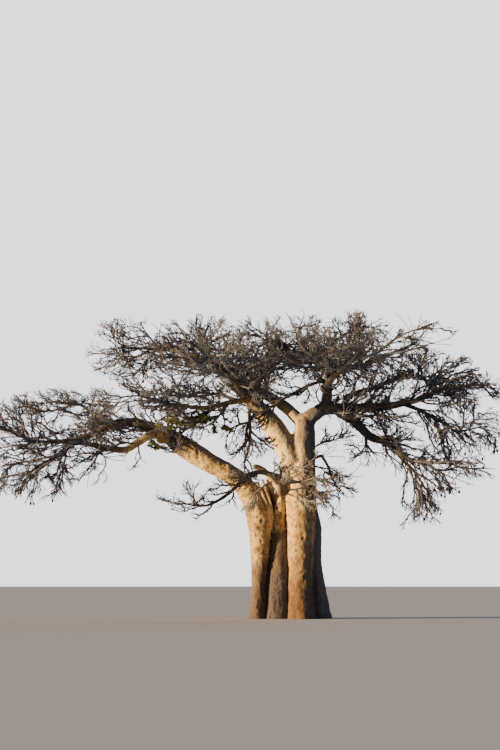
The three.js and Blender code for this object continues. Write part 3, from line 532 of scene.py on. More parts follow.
def tubes(points: np.ndarray, radii: np.ndarray, sides: int, blunt: float = 0.6) -> Surface:
    """Round tubes with closed ends: on each ring centre + radius (u cos a + v sin a), where u and v
    stand square to the line there, and a pole beyond each end.

    Args:
        points: the centres of the rings, shape (tubes, rings, 3).
        radii: the radius of each ring, shape (tubes, rings).
        sides: sides round a tube.
        blunt: how far the end poles stand out, as a share of the end's radius.

    Returns: all the tubes as one surface.
    """
    count, rings, _ = points.shape
    along = np.empty_like(points)
    along[:, 1:-1] = points[:, 2:] - points[:, :-2]
    along[:, 0] = points[:, 1] - points[:, 0]
    along[:, -1] = points[:, -1] - points[:, -2]
    along = unit(along)
    chord = unit(points[:, -1] - points[:, 0])
    flattest = np.eye(3)[np.argmin(np.abs(chord), axis=1)]
    u = np.broadcast_to(unit(np.cross(chord, flattest))[:, None], points.shape)
    u = unit(u - np.sum(u * along, axis=2, keepdims=True) * along)
    v = np.cross(along, u)
    turn = np.arange(sides) * 2 * math.pi / sides
    circle = u[:, :, None] * np.cos(turn)[:, None] + v[:, :, None] * np.sin(turn)[:, None]
    skin = (points[:, :, None] + radii[:, :, None, None] * circle).reshape(count, rings * sides, 3)
    root = points[:, :1] - along[:, :1] * radii[:, :1, None] * blunt
    tip = points[:, -1:] + along[:, -1:] * radii[:, -1:, None] * blunt
    vertices = np.concatenate([skin, root, tip], axis=1)
    start = np.arange(count)[:, None, None] * vertices.shape[1]
    ring = np.arange(rings - 1)[:, None] * sides
    side = np.arange(sides)
    after = (side + 1) % sides
    quads = np.stack([ring + side, ring + after, ring + sides + after, ring + sides + side], axis=-1)
    last = (rings - 1) * sides
    poles = rings * sides
    foot = np.stack([np.full(sides, poles), after, side], axis=-1)
    head = np.stack([np.full(sides, poles + 1), last + side, last + after], axis=-1)
    return Surface(
        vertices.reshape(-1, 3),
        (quads.reshape(1, -1, 4) + start).reshape(-1, 4),
        (np.concatenate([foot, head])[None] + start).reshape(-1, 3),
    )


def segment_distances(points: np.ndarray, starts: np.ndarray, ends: np.ndarray) -> np.ndarray:
    """Returns: the distance from each of n points to each of m straight segments, shape (n, m)."""
    way = ends - starts
    share = np.einsum("nmk,mk->nm", points[:, None] - starts, way)
    share = np.clip(share / np.maximum(np.sum(way * way, axis=1), 1e-12), 0, 1)
    return np.linalg.norm(points[:, None] - (starts + share[..., None] * way), axis=2)


class Crown:
    """The spaces of all the masses, their stems, and the limbs and stems that twigs keep clear of."""

    def __init__(self) -> None:
        """Works out the spaces, the capsules of the limbs and every mass's stem."""
        self.names = list(MASSES)
        self.middles = np.array([MASSES[name].middle for name in self.names], float)
        self.halves = np.array([MASSES[name].half for name in self.names], float)
        lines = [limb_line(name, CAPSULES_PER_LIMB) for name in LIMBS]
        for stations in STEMS.values():
            table = np.array(stations, float)
            lines.append((table[:, :3], table[:, 3]))
        self.starts = np.vstack([places[:-1] for places, _ in lines])
        self.ends = np.vstack([places[1:] for places, _ in lines])
        self.girths = np.concatenate([radii[:-1] for _, radii in lines])
        self.stems = {name: self.stem_of(name) for name in self.names}
        self.stem_starts = {}
        self.stem_ends = {}
        for name in self.names:
            others = [self.stems[other][0] for other in self.names if other != name]
            self.stem_starts[name] = np.vstack([places[:-1] for places in others])
            self.stem_ends[name] = np.vstack([places[1:] for places in others])

    def spreads(self, points: np.ndarray) -> np.ndarray:
        """How far out points lie in each space: (sum of |offset / half size| ** power) ** (1 / power).

        Args:
            points: shape (n, 3).

        Returns: 0 in a space's middle and 1 on its skin, shape (n, masses).
        """
        offset = np.abs((points[:, None] - self.middles) / self.halves)
        return np.sum(offset**SPACE_POWER, axis=2) ** (1 / SPACE_POWER)

    def owned(self, name: str, points: np.ndarray, margin: float = SPACE_MARGIN) -> np.ndarray:
        """Returns: whether each point lies in the mass's space and not nearer another's middle."""
        spreads = self.spreads(points)
        index = self.names.index(name)
        own = spreads[:, index].copy()
        spreads[:, index] = np.inf
        return (own < 1) & (spreads.min(axis=1) > own + margin)

    def clear_of_limbs(self, points: np.ndarray, margin: float = LIMB_MARGIN) -> np.ndarray:
        """Returns: whether each point is clear of the trunk and of every limb."""
        gaps = segment_distances(points, self.starts, self.ends) - self.girths
        return gaps.min(axis=1) > margin

    def clear_of_stems(self, name: str, points: np.ndarray) -> np.ndarray:
        """Returns: whether each point is clear of the stems of all the other masses."""
        gaps = segment_distances(points, self.stem_starts[name], self.stem_ends[name])
        return gaps.min(axis=1) > STEM_MARGIN

    def stem_of(self, name: str) -> tuple[np.ndarray, float]:
        """A mass's stem, from inside the wood that carries it to the first point in its own space.

        Returns: its joints, shape (n, 3), and its radius.
        """
        mass = MASSES[name]
        middle = np.array(mass.middle, float)
        radius = FLANK_STEM_RADIUS
        if mass.on == "trunk":
            places = [np.array(mass.start, float), np.array(mass.through, float)]
        else:
            line, radii = limb_line(mass.on, STEM_STATIONS)
            station = round(mass.at * STEM_STATIONS)
            start = line[station]
            heading = unit(middle - start)
            out = TWIG_STEP
            if mass.at == 1:
                heading = unit(lerp(heading, unit(start - line[station - 1]), TIP_HEADING))
                radius = radii[station] * TIP_STEM_SHARE
            else:
                radius = min(radius, radii[station] * FLANK_STEM_SHARE)
                out = radii[station] + TWIG_STEP
            places = [start, start + heading * out]
        while not self.owned(name, places[-1][None])[0] and len(places) < MOST_STEM_JOINTS:
            places.append(places[-1] + unit(middle - places[-1]) * TWIG_STEP)
        return np.array(places), radius

    def main_ends(self, name: str, draws: Seeded) -> np.ndarray:
        """The places that a mass's main twigs reach: its furthest points along each axis, and then
        a spiral that spreads the rest evenly, most of them near the skin of its space.

        Returns: shape (n, 3).
        """
        mass = MASSES[name]
        index = self.names.index(name)
        directions = [(1, 0, 0), (-1, 0, 0), (0, 0, 1), (0, 0, -1), (0, 1, 0), (0, -1, 0)]
        furthest = len(directions)
        offset = draws.draw() * math.pi * 2
        for i in range(mass.ends):
            z = 1 - (2 * i + 1) / mass.ends
            ring = math.sqrt(1 - z * z)
            turn = GOLDEN_ANGLE * i + offset
            directions.append((ring * math.cos(turn), ring * math.sin(turn), z))
        places = []
        for i, direction in enumerate(directions):
            outer = i < furthest or draws.draw() < OUTLINE_SHARE
            share = OUTLINE_REACH if outer else lerp(*INNER_REACH, draws.draw())
            ray = np.array(direction) * mass.half
            reach = self.spreads((ray + mass.middle)[None])[0, index]
            places.append(ray * share / reach + mass.middle)
        found = np.array(places)
        return found[self.owned(name, found) & self.clear_of_limbs(found)]


def twig_ways(
    starts: np.ndarray, headings: np.ndarray, ends: np.ndarray, arch: float, steps: int
) -> np.ndarray:
    """The bent ways of twigs: the straight run from start to end, with SET_OUT of the heading of
    the twig that is left and the mass's arch upwards added by the bow t (1 - t) times the gap.

    Args:
        starts, headings, ends: shape (n, 3).
        arch: how far the way rises.
        steps: how many joints each way gets.

    Returns: shape (n, steps, 3).
    """
    t = (np.arange(steps) + 1)[:, None] / steps
    gap = np.linalg.norm(ends - starts, axis=1)[:, None, None]
    bow = t * (1 - t) * gap
    ways = lerp(starts[:, None], ends[:, None], t) + headings[:, None] * SET_OUT * bow
    ways[..., 2:] += arch * bow
    return ways


@dataclass(frozen=True)
class Order:
    """One order of side shoots: how many leave each joint, their lengths in metres, how many joints
    each has, the angles in degrees at which they leave, how crooked they are, and the sides of
    their tubes."""

    chance: float
    lengths: tuple[float, float]
    joints: int
    angles: tuple[float, float]
    crook: float
    sides: int


class Growth:
    """Twigs in the making: the joints of all of them, and the ways that run through the joints."""

    TIP_RADIUS = 11 * MM
    LIFT_UP = 0.16
    LIFT_DOWN = -0.6
    FLATNESS = 0.5
    SWEEP = 0.35
    TRIES = 2
    RETRY_LENGTH = 0.6
    LIMB_GAP = 0.02
    BEND_SIZE = ((0.9, 0.1), (0.28, 0.035))
    BEND_FROM = (0.1, 0.8)
    SHORTEST_SHARE = 0.5
    FULL_LENGTH = 1.2
    ORDERS = (
        Order(0.42, (0.4, 1.1), 4, (25, 55), 0.22, 4),
        Order(0.42, (0.2, 0.5), 2, (30, 65), 0.25, 3),
    )
    SPURS = Order(0.4, (0.05, 0.17), 1, (35, 80), 0.2, 3)
    MAIN_SIDES = 7
    REFINED_ORDERS = 2
    BEND_BACK = 0.7
    # A way that leaves a much thicker one starts only a little thicker than it goes on
    MUCH_THICKER = 1.2
    START_GIRTH = 1.1
    SHADE_SHIFT = 0.4
    SPURS_BELOW = 3
    SPUR_GIRTHS = (0.8, 1.1)
    POWER = 0.4

    def __init__(self, seed: int, crown: Crown, lift: float) -> None:
        """Starts with no joints.

        Args:
            seed: picks the twigs.
            crown: the limbs and spaces that the twigs keep to.
            lift: the upward part of the way that twigs bend to.
        """
        self.crown = crown
        self.spread = 1.0
        self.density = 1.0
        self.shade = 0.0
        self.random = np.random.default_rng(seed)
        self.lift = np.array([0, 0, lift])
        self.places = np.zeros((0, 3))
        self.headings = np.zeros((0, 3))
        self.travels = np.zeros(0)
        self.left = np.zeros(0)
        self.sprays = np.zeros(0, int)
        self.open = np.zeros(0, bool)
        self.ways: list[tuple[int, np.ndarray]] = []

    def add_ways(self, starts: np.ndarray, ways: np.ndarray, parents: np.ndarray, order: int) -> None:
        """Adds ways of new joints that leave old ones, or the wood.

        Args:
            starts: where each way leaves, shape (n, 3).
            ways: the new joints, shape (n, joints, 3).
            parents: the joint that each way leaves, or -1 where it leaves the wood, shape (n,).
            order: 0 for stems and main twigs, then 1, 2 and so on.
        """
        count, joints = ways.shape[:2]
        steps = np.diff(np.concatenate([starts[:, None], ways], axis=1), axis=1)
        lengths = np.linalg.norm(steps, axis=2)
        along = np.cumsum(lengths, axis=1)
        rooted = parents < 0
        before = np.where(rooted, 0, self.travels[parents]) if len(self.travels) else np.zeros(count)
        fresh = np.arange(count) + (self.sprays.max() + 1 if len(self.sprays) else 0)
        sprays = fresh if order == 0 else np.where(rooted, fresh, self.sprays[parents])
        numbers = len(self.places) + np.arange(count * joints).reshape(count, joints)
        self.places = np.vstack([self.places, ways.reshape(-1, 3)])
        self.headings = np.vstack([self.headings, unit(steps).reshape(-1, 3)])
        self.travels = np.concatenate([self.travels, (before[:, None] + along).ravel()])
        self.left = np.concatenate([self.left, (along[:, -1:] - along).ravel()])
        self.sprays = np.concatenate([self.sprays, np.repeat(sprays, joints)])
        self.open = np.concatenate([self.open, np.ones(count * joints, bool)])
        rows = np.column_stack([parents, numbers])
        if rooted.all():
            rows = numbers
        self.ways.append((order, rows))

    def allowed(self, ways: np.ndarray) -> np.ndarray:
        """Returns: whether each way, shape (n, joints, 3), is clear of the limbs."""
        flat = ways.reshape(-1, 3)
        return self.crown.clear_of_limbs(flat, self.LIMB_GAP).reshape(ways.shape[:2]).all(axis=1)

    def shoots(self, joints: np.ndarray, order: Order, share: np.ndarray) -> np.ndarray:
        """The ways of side shoots. Each sets out at an angle from its joint's heading, to a random
        side that is flattened towards the level, and bends back to the heading and the lift.

        Args:
            joints: the joints that they leave, shape (n,).
            order: what shoots of this order are like.
            share: what to multiply each one's length by, shape (n,).

        Returns: shape (n, order.joints, 3).
        """
        heading = self.headings[joints]
        aside = np.cross(heading, self.random.normal(0, 1, heading.shape))
        aside = unit(unit(aside) * (1, 1, self.FLATNESS))
        angle = self.spread * np.radians(self.random.uniform(*order.angles, len(joints)))[:, None]
        first = heading * np.cos(angle) + aside * np.sin(angle)
        last = unit(heading + aside * self.SWEEP * self.spread + self.lift)
        t = (np.arange(order.joints) + 1)[:, None] / order.joints
        crook = self.random.normal(0, order.crook, (len(joints), order.joints, 3))
        directions = unit(lerp(first[:, None], last[:, None], t * self.BEND_BACK) + crook)
        length = self.random.uniform(*order.lengths, len(joints)) * share
        steps = directions * (length / order.joints)[:, None, None]
        return self.places[joints][:, None] + np.cumsum(steps, axis=1)

    def grow_order(self, number: int, order: Order) -> None:
        """Grows side shoots from the joints so far, and two from each tip. Those that would leave
        the space or touch a limb try once more, shorter and to another side.

        Args:
            number: the order's number, from 1.
            order: what the shoots are like.
        """
        chance = order.chance * self.density
        whole = np.floor(chance + self.random.random(len(self.places))).astype(int)
        whole[self.left == 0] = 2
        whole[~self.open] = 0
        joints = np.repeat(np.arange(len(self.places)), whole)
        share = lerp(self.SHORTEST_SHARE, 1, np.minimum(self.left[joints] / self.FULL_LENGTH, 1))
        for _ in range(self.TRIES):
            ways = self.shoots(joints, order, share)
            good = self.allowed(ways)
            kept = joints[good]
            if len(kept):
                self.add_ways(self.places[kept], ways[good], kept, number)
            joints, share = joints[~good], share[~good] * self.RETRY_LENGTH

    def bend_space(self) -> None:
        """Moves every joint by octaves of noise in each axis, so that the twigs are crooked and
        stay joined. Their feet stay where they are."""
        share = smooth_step(*self.BEND_FROM, self.travels)[:, None]
        moved = np.zeros_like(self.places)
        for size, reach in self.BEND_SIZE:
            for axis in range(3):
                moved[:, axis] += reach * value_noise(self.places / size, 17 * axis + round(size * 100))
        self.places = self.places + moved * share

    def tips_fed(self) -> np.ndarray:
        """Returns: how many tips each joint feeds."""
        feeds = np.zeros(len(self.places), bool)
        for _, rows in self.ways:
            feeds[rows[:, :-1]] = True
        tips = np.where(feeds, 0.0, 1.0)
        for _, rows in reversed(self.ways):
            for k in range(rows.shape[1] - 1, 0, -1):
                np.add.at(tips, rows[:, k - 1], tips[rows[:, k]])
        return tips

    def way_tubes(self, radii: np.ndarray) -> list[Surface]:
        """The tubes of all ways, worked out together where ways have the same number of joints."""
        kinds: dict[tuple[int, int], list[np.ndarray]] = {}
        for order, rows in self.ways:
            kinds.setdefault((order, rows.shape[1]), []).append(rows)
        made = []
        for (order, _), parts in sorted(kinds.items()):
            rows = np.vstack(parts)
            if not len(rows):
                continue
            points = self.places[rows]
            girths = radii[rows]
            side = radii[rows[:, 0]] > girths[:, 1] * self.MUCH_THICKER
            girths[:, 0] = np.where(side, girths[:, 1] * self.START_GIRTH, girths[:, 0])
            if order < self.REFINED_ORDERS:
                points, girths = refined(points), refined_values(girths)
            sides = self.ORDERS[order - 1].sides if order else self.MAIN_SIDES
            surface = tubes(points, girths, sides)
            surface.slots = self.slots_of(surface, self.sprays[rows[:, -1]])
            made.append(surface)
        return made

    def slots_of(self, surface: Surface, sprays: np.ndarray) -> np.ndarray:
        """Returns: the material slot of each face, dealt out by spray."""
        if not len(sprays):
            return np.zeros(0, int)
        shares = np.cumsum([colour.share for colour in TwigColour])
        # A painted shade: the shade shifts the deal towards the dark colours, and below 0 towards the
        # light ones as a painted light
        hashed = np.modf((sprays + 1) * GOLDEN_ANGLE)[0] * (1 - self.SHADE_SHIFT * self.shade)
        each = np.minimum(np.searchsorted(shares, hashed), len(shares) - 1)
        quads = np.repeat(each, len(surface.quads) // len(sprays))
        triangles = np.repeat(each, len(surface.triangles) // len(sprays))
        return np.concatenate([quads, triangles])

    def spurs(self, radii: np.ndarray) -> Surface:
        """Stubby shoots with thick tips along the finer twigs and at their ends."""
        chance = np.where(radii < self.SPURS_BELOW * self.TIP_RADIUS, self.SPURS.chance, 0)
        whole = np.floor(chance + self.random.random(len(radii))).astype(int)
        whole[self.left == 0] += 1
        joints = np.repeat(np.arange(len(radii)), whole)
        ways = self.shoots(joints, self.SPURS, np.ones(len(joints)))
        points = np.concatenate([self.places[joints][:, None], ways], axis=1)
        girth = self.TIP_RADIUS * np.array(self.SPUR_GIRTHS)
        surface = tubes(points, np.broadcast_to(girth, points.shape[:2]), self.SPURS.sides)
        surface.slots = self.slots_of(surface, self.sprays[joints])
        return surface

    def power(self, tips: np.ndarray) -> float:
        """Returns: the power that gives the radius at a foot from the tips that it feeds."""
        return self.POWER

    def build(self) -> Surface:
        """Grows the finer orders and joins all tubes. Returns: the twigs as one surface."""
        for number, order in enumerate(self.ORDERS, start=1):
            self.grow_order(number, order)
        self.bend_space()
        tips = self.tips_fed()
        radii = self.TIP_RADIUS * tips ** self.power(tips)
        return Surface.joined([*self.way_tubes(radii), self.spurs(radii)])


class TwigMass(Growth):
    """One mass of twigs: the main twigs of its space, grown from its stem, and the finer orders.
    A twig's radius is TIP_RADIUS * (tips that it feeds) ** power."""

    FILL_DENSITY = 4.0
    FILL_POWER = 0.75
    FILL_GAPS = (0.35, 1.7)
    FILL_STEPS = 4
    FILL_CROOK = 0.04
    SPACE_VOLUME = 4.9

    def __init__(self, name: str, seed: int, crown: Crown) -> None:
        """Starts with the joints of the stem alone."""
        self.name = name
        self.mass = MASSES[name]
        super().__init__(seed, crown, self.LIFT_DOWN if self.mass.arch > 0 else self.LIFT_UP)
        self.spread = self.mass.spread
        self.density = min(1.0, self.mass.twigs)
        self.shade = self.mass.shade
        self.draws = Seeded(seed)
        stem, self.radius = crown.stems[name]
        self.add_ways(stem[:1], stem[None], np.array([-1]), 0)
        self.open[:1] = False
        self.index = crown.names.index(name)

    def grow_main(self) -> None:
        """Grows the main twigs. The ends are reached in turn, the furthest first, each from the
        joint with the least cost: gap * (1 + TURN_COST * turn) + TRAVEL_COST * the way back to the
        limb. A twig that would leave the space or touch a limb or another stem tries the next
        joints, and is skipped when none will do."""
        ends = self.crown.main_ends(self.name, self.draws)
        foot = self.places[-1]
        ends = ends[np.argsort(-np.linalg.norm(ends - foot, axis=1), kind="stable")]
        for end in ends:
            gaps = np.linalg.norm(end - self.places, axis=1)
            toward = np.sum((end - self.places) * self.headings, axis=1)
            turns = 1 - toward / np.maximum(gaps, 1e-9)
            costs = gaps * (1 + TURN_COST * turns) + TRAVEL_COST * self.travels
            closed = (gaps <= LEAST_TWIG) | (turns >= MOST_TURN)
            closed[0] = True
            costs[closed] = np.inf
            for joint in np.argsort(costs, kind="stable")[:MOST_TRIES]:
                if not np.isfinite(costs[joint]):
                    break
                steps = math.ceil(gaps[joint] / TWIG_STEP)
                start, heading = self.places[joint][None], self.headings[joint][None]
                way = twig_ways(start, heading, end[None], self.mass.arch, steps)
                inside = self.crown.owned(self.name, way[0]) & self.crown.clear_of_limbs(way[0])
                if np.all(inside & self.crown.clear_of_stems(self.name, way[0])):
                    self.add_ways(start, way, np.array([joint]), 0)
                    break

    def fill_ends(self) -> np.ndarray:
        """Places spread through the mass's space, as many as its size and its fill ask for."""
        volume = self.SPACE_VOLUME * math.prod(self.mass.half)
        number = round(self.FILL_DENSITY * self.mass.twigs * volume**self.FILL_POWER)
        places = self.random.uniform(-1, 1, (3 * number, 3)) * self.mass.half + self.mass.middle
        spreads = self.crown.spreads(places)
        own = spreads[:, self.index].copy()
        spreads[:, self.index] = np.inf
        inside = (own < self.mass.reach) & (spreads.min(axis=1) > own)
        return places[inside][:number]

    def grow_fill(self) -> None:
        """Fills the space with twigs by the same rule, all at once: each end is reached from the
        joint so far with the least cost, and failing that from the next."""
        ends = self.fill_ends()
        gaps = np.linalg.norm(ends[:, None] - self.places, axis=2)
        toward = ends @ self.headings.T - np.sum(self.places * self.headings, axis=1)
        turns = 1 - toward / np.maximum(gaps, 1e-9)
        costs = gaps * (1 + TURN_COST * turns) + TRAVEL_COST * self.travels
        low, high = self.FILL_GAPS
        costs[(gaps < low) | (gaps > high) | (turns > MOST_TURN)] = np.inf
        costs[:, 0] = np.inf
        choices = np.argsort(costs, axis=1)[:, : self.TRIES]
        waiting = np.arange(len(ends))
        for choice in range(self.TRIES):
            joints = choices[waiting, choice]
            found = np.isfinite(costs[waiting, joints])
            waiting, joints = waiting[found], joints[found]
            if not len(waiting):
                break
            starts, headings = self.places[joints], self.headings[joints]
            ways = twig_ways(starts, headings, ends[waiting], self.mass.arch, self.FILL_STEPS)
            crook = self.random.normal(0, self.FILL_CROOK, ways.shape)
            ways = ways + crook * gaps[waiting, joints][:, None, None]
            good = self.allowed(ways)
            if good.any():
                self.add_ways(starts[good], ways[good], joints[good], 1)
            waiting = waiting[~good]

    def allowed(self, ways: np.ndarray) -> np.ndarray:
        """Returns: whether each way is clear of the limbs and in the mass's space."""
        spreads = self.crown.spreads(ways[:, -1])[:, self.index]
        return super().allowed(ways) & (spreads < self.mass.reach)

    def power(self, tips: np.ndarray) -> float:
        """Returns: the power that gives the stem's own radius at its foot."""
        return math.log(self.radius / self.TIP_RADIUS) / math.log(max(3, tips[0]))

    def build(self) -> Surface:
        """Grows all orders. Returns: the mass's twigs as one surface."""
        self.grow_main()
        self.grow_fill()
        return super().build()


@dataclass(frozen=True)
class Shoots:
    """Twigs that stand along a limb: between which shares of its length, how many, their lengths
    in metres, the upward part of the way that they bend to, the angles at which they leave, and
    their shade, which paints shade or light on them (above 0 more of them are dark, below 0 fewer)."""

    on: str
    first: float
    last: float
    count: int
    lengths: tuple[float, float] = (0.5, 1.3)
    lift: float = 0.4
    angles: tuple[float, float] = (40, 75)
    shade: float = 0.0


class LimbShoots(Growth):
    """The twigs along one limb and their finer orders."""

    STEPS = 60
    JOINTS = 5
    FREE_FROM = 2
    TOP = 0.85
    ORDERS = (
        Order(0.5, (0.25, 0.65), 3, (28, 55), 0.22, 4),
        Order(0.35, (0.12, 0.3), 2, (30, 65), 0.25, 3),
    )
    SPURS = Order(0.2, (0.05, 0.16), 1, (35, 80), 0.2, 3)
    MAIN = (0.12, 6)
    BARE_START = 0.15
    MAIN_SIDES = 5
    REFINED_ORDERS = 1

    def __init__(self, rule: Shoots, seed: int, crown: Crown) -> None:
        """Grows the main twigs out of the limb's own middle line."""
        super().__init__(seed, crown, rule.lift)
        self.shade = rule.shade
        line, radii = limb_line(rule.on, self.STEPS)
        share = self.random.uniform(rule.first, rule.last, rule.count)
        station = np.round(share * self.STEPS).astype(int)
        heading = unit(np.gradient(line, axis=0))[station]
        self.places = line[station]
        self.headings = heading
        order = Order(1, rule.lengths, self.JOINTS, rule.angles, *self.MAIN)
        ways = self.shoots(np.arange(rule.count), order, np.ones(rule.count))
        aside = unit(ways[:, 0] - self.places) * radii[station][:, None]
        ways = ways + aside[:, None]
        roots = self.places
        self.places = np.zeros((0, 3))
        self.headings = np.zeros((0, 3))
        good = self.allowed(ways[:, self.FREE_FROM :])
        joined = np.concatenate([roots[good][:, None], ways[good]], axis=1)
        self.add_ways(roots[good], joined, np.full(len(joined), -1), 0)
        self.open[self.travels < self.BARE_START] = False

    def allowed(self, ways: np.ndarray) -> np.ndarray:
        """Returns: whether each way is clear of the limbs and stays under the crown's top, which
        is TOP of the way up the highest mass there."""
        middles, halves = self.crown.middles, self.crown.halves
        offset = (ways[:, -1, None, :2] - middles[:, :2]) / halves[:, :2]
        within = np.abs(offset).max(axis=2) < 1
        heights = np.where(within, middles[:, 2] + self.TOP * halves[:, 2], -np.inf).max(axis=1)
        under = ~within.any(axis=1) | (ways[:, -1, 2] < heights)
        return super().allowed(ways) & under


def refined(points: np.ndarray) -> np.ndarray:
    """Puts a point on each span of lines by the four-point rule (9 (b + c) - a - d) / 16.

    Args:
        points: shape (lines, n, 3).

    Returns: shape (lines, 2 n - 1, 3).
    """
    before = 2 * points[:, :1] - points[:, 1:2]
    after = 2 * points[:, -1:] - points[:, -2:-1]
    padded = np.concatenate([before, points, after], axis=1)
    inner = 9 * (padded[:, 1:-2] + padded[:, 2:-1]) - padded[:, :-3] - padded[:, 3:]
    made = np.empty((points.shape[0], 2 * points.shape[1] - 1, points.shape[2]))
    made[:, ::2] = points
    made[:, 1::2] = inner / 16
    return made


def refined_values(values: np.ndarray) -> np.ndarray:
    """Returns: the values of shape (lines, n) with the mean of each pair put between them."""
    made = np.empty((values.shape[0], 2 * values.shape[1] - 1))
    made[:, ::2] = values
    made[:, 1::2] = (values[:, 1:] + values[:, :-1]) / 2
    return made


# Thin stems between the left stem and the middle one, a ridge down the main stem, and burls
PROPS = {
    "web_outer": Limb(0.2, 0.2, (
        (-1.08, 0.3, 4.62), (-0.98, 0.34, 4.2), (-0.9, 0.36, 3.6), (-0.85, 0.4, 3),
    )),
    "web_inner": Limb(0.2, 0.2, (
        (-0.74, 0.3, 4.8), (-0.74, 0.34, 4.3), (-0.7, 0.36, 3.7), (-0.65, 0.4, 3),
    )),
    "prop_ridge": Limb(0.04, 0.035, (
        (0.84, -0.28, 4.1), (0.81, -0.335, 3.7), (0.77, -0.355, 3), (0.72, -0.335, 2.2),
        (0.73, -0.29, 1.5),
    )),
    "prop_outer": Limb(0.06, 0.045, (
        (-1.2, -0.25, 4.85), (-0.98, -0.28, 4.4), (-0.8, -0.24, 3.9), (-0.7, -0.16, 3.2),
    )),
    "prop_inner": Limb(0.055, 0.045, (
        (-1, -0.22, 4.95), (-0.84, -0.26, 4.5), (-0.7, -0.22, 4.05), (-0.64, -0.14, 3.5),
    )),
    "prop_short": Limb(0.07, 0.05, (
        (-0.82, -0.1, 5), (-0.66, -0.14, 4.6), (-0.56, -0.1, 4.2), (-0.55, -0.05, 3.8),
    )),
    "burl": Limb(0.16, 0.13, ((-0.5, -0.3, 4.82), (-0.4, -0.36, 4.66), (-0.32, -0.26, 4.45)), (0.9, 0)),
    "burl_arm": Limb(0.14, 0.1, (
        (-0.27, -0.3, 4.68), (-0.56, -0.42, 4.88), (-0.85, -0.5, 5.16), (-1.06, -0.55, 5.33),
        (-1.3, -0.6, 5.4),
    ), (0.95, 0)),
}

# Thin branches that stand apart from the boughs
BRANCHES = {
    "branch_hanging": Limb(0.075, 0.03, (
        (-1.42, -0.1, 7.75), (-1.46, -0.3, 7.2), (-1.44, -0.32, 6.62), (-1.51, -0.35, 5.97),
        (-1.62, -0.35, 5.61), (-1.65, -0.35, 5.32),
    )),
    "branch_hanging_side": Limb(0.035, 0.02, (
        (-1.45, -0.31, 6.75), (-1.1, -0.3, 6.4), (-0.79, -0.3, 6.19),
    )),
    "branch_lit": Limb(0.055, 0.03, (
        (-2.3, -0.98, 7.62), (-2.45, -1.04, 7.3), (-2.75, -1.2, 6.94), (-3.24, -1.3, 6.65),
    )),
    "branch_elbow": Limb(0.075, 0.035, (
        (3.1, -1.28, 6.3), (3.44, -1.6, 6.4), (3.61, -1.8, 6.29), (3.81, -1.9, 6.11),
    )),
    "branch_drooping": Limb(0.042, 0.016, (
        (3.96, -1.88, 5.66), (4.12, -1.92, 5.3), (4.2, -1.95, 5), (4.46, -1.97, 4.65), (4.64, -2, 4.2),
        (4.74, -2, 3.8),
    )),
    "branch_drooping_side": Limb(0.022, 0.012, (
        (4.42, -1.97, 4.72), (4.43, -2, 4.3), (4.36, -2, 4), (4.22, -2, 3.76),
    )),
    "side_high": Limb(0.028, 0.012, (
        (0.8, -0.2, 6.05), (1.1, -0.3, 6.25), (1.5, -0.35, 6.32), (1.85, -0.4, 6.5),
    )),
    "side_mid": Limb(0.028, 0.012, (
        (0.8, -0.2, 5.45), (1.1, -0.3, 5.35), (1.4, -0.35, 5.1), (1.8, -0.4, 5.05),
    )),
    "side_low": Limb(0.028, 0.012, (
        (0.8, -0.2, 4.6), (1.1, -0.3, 4.4), (1.35, -0.3, 4.1), (1.7, -0.35, 3.8),
    )),
    "side_lowest": Limb(0.024, 0.012, (
        (0.85, -0.15, 5), (1.2, -0.25, 4.95), (1.6, -0.3, 4.7), (1.95, -0.3, 4.75),
    )),
    "tangle_high": Limb(0.03, 0.014, (
        (-0.4, -0.42, 4.75), (0, -0.68, 4.9), (0.45, -0.78, 4.83), (0.95, -0.75, 4.95),
        (1.3, -0.7, 4.85),
    )),
    "tangle_mid": Limb(0.03, 0.014, (
        (-0.35, -0.42, 4.6), (0.05, -0.7, 4.55), (0.5, -0.82, 4.62), (0.9, -0.8, 4.4),
        (1.25, -0.75, 4.45),
    )),
    "tangle_low": Limb(0.026, 0.014, (
        (-0.3, -0.4, 4.5), (0.1, -0.66, 4.35), (0.45, -0.76, 4.12), (0.8, -0.78, 4.08),
    )),
    "tangle_top": Limb(0.03, 0.014, (
        (-0.75, -0.5, 5.1), (-0.3, -0.75, 5.35), (0.2, -0.85, 5.3), (0.65, -0.85, 5.42),
    )),
    "tangle_left": Limb(0.026, 0.014, (
        (-0.6, -0.45, 4.9), (-0.9, -0.8, 4.72), (-1.2, -0.95, 4.42), (-1.4, -1, 4.05),
    )),
    "spike_right": Limb(0.04, 0.012, (
        (3.2, -0.7, 9.5), (3.75, -0.9, 9.95), (4.65, -1.1, 10.3), (5.15, -1.2, 10.28),
        (5.75, -1.3, 10.3),
    )),
    "spike_right_low": Limb(0.03, 0.016, ((3.9, -0.93, 10.02), (4.55, -1.2, 9.9), (5.1, -1.3, 9.72))),
    "spike_top": Limb(0.035, 0.018, (
        (2.65, -0.5, 9.7), (2.5, -0.55, 10.2), (2.4, -0.6, 10.6), (2.42, -0.62, 11.08),
    )),
}

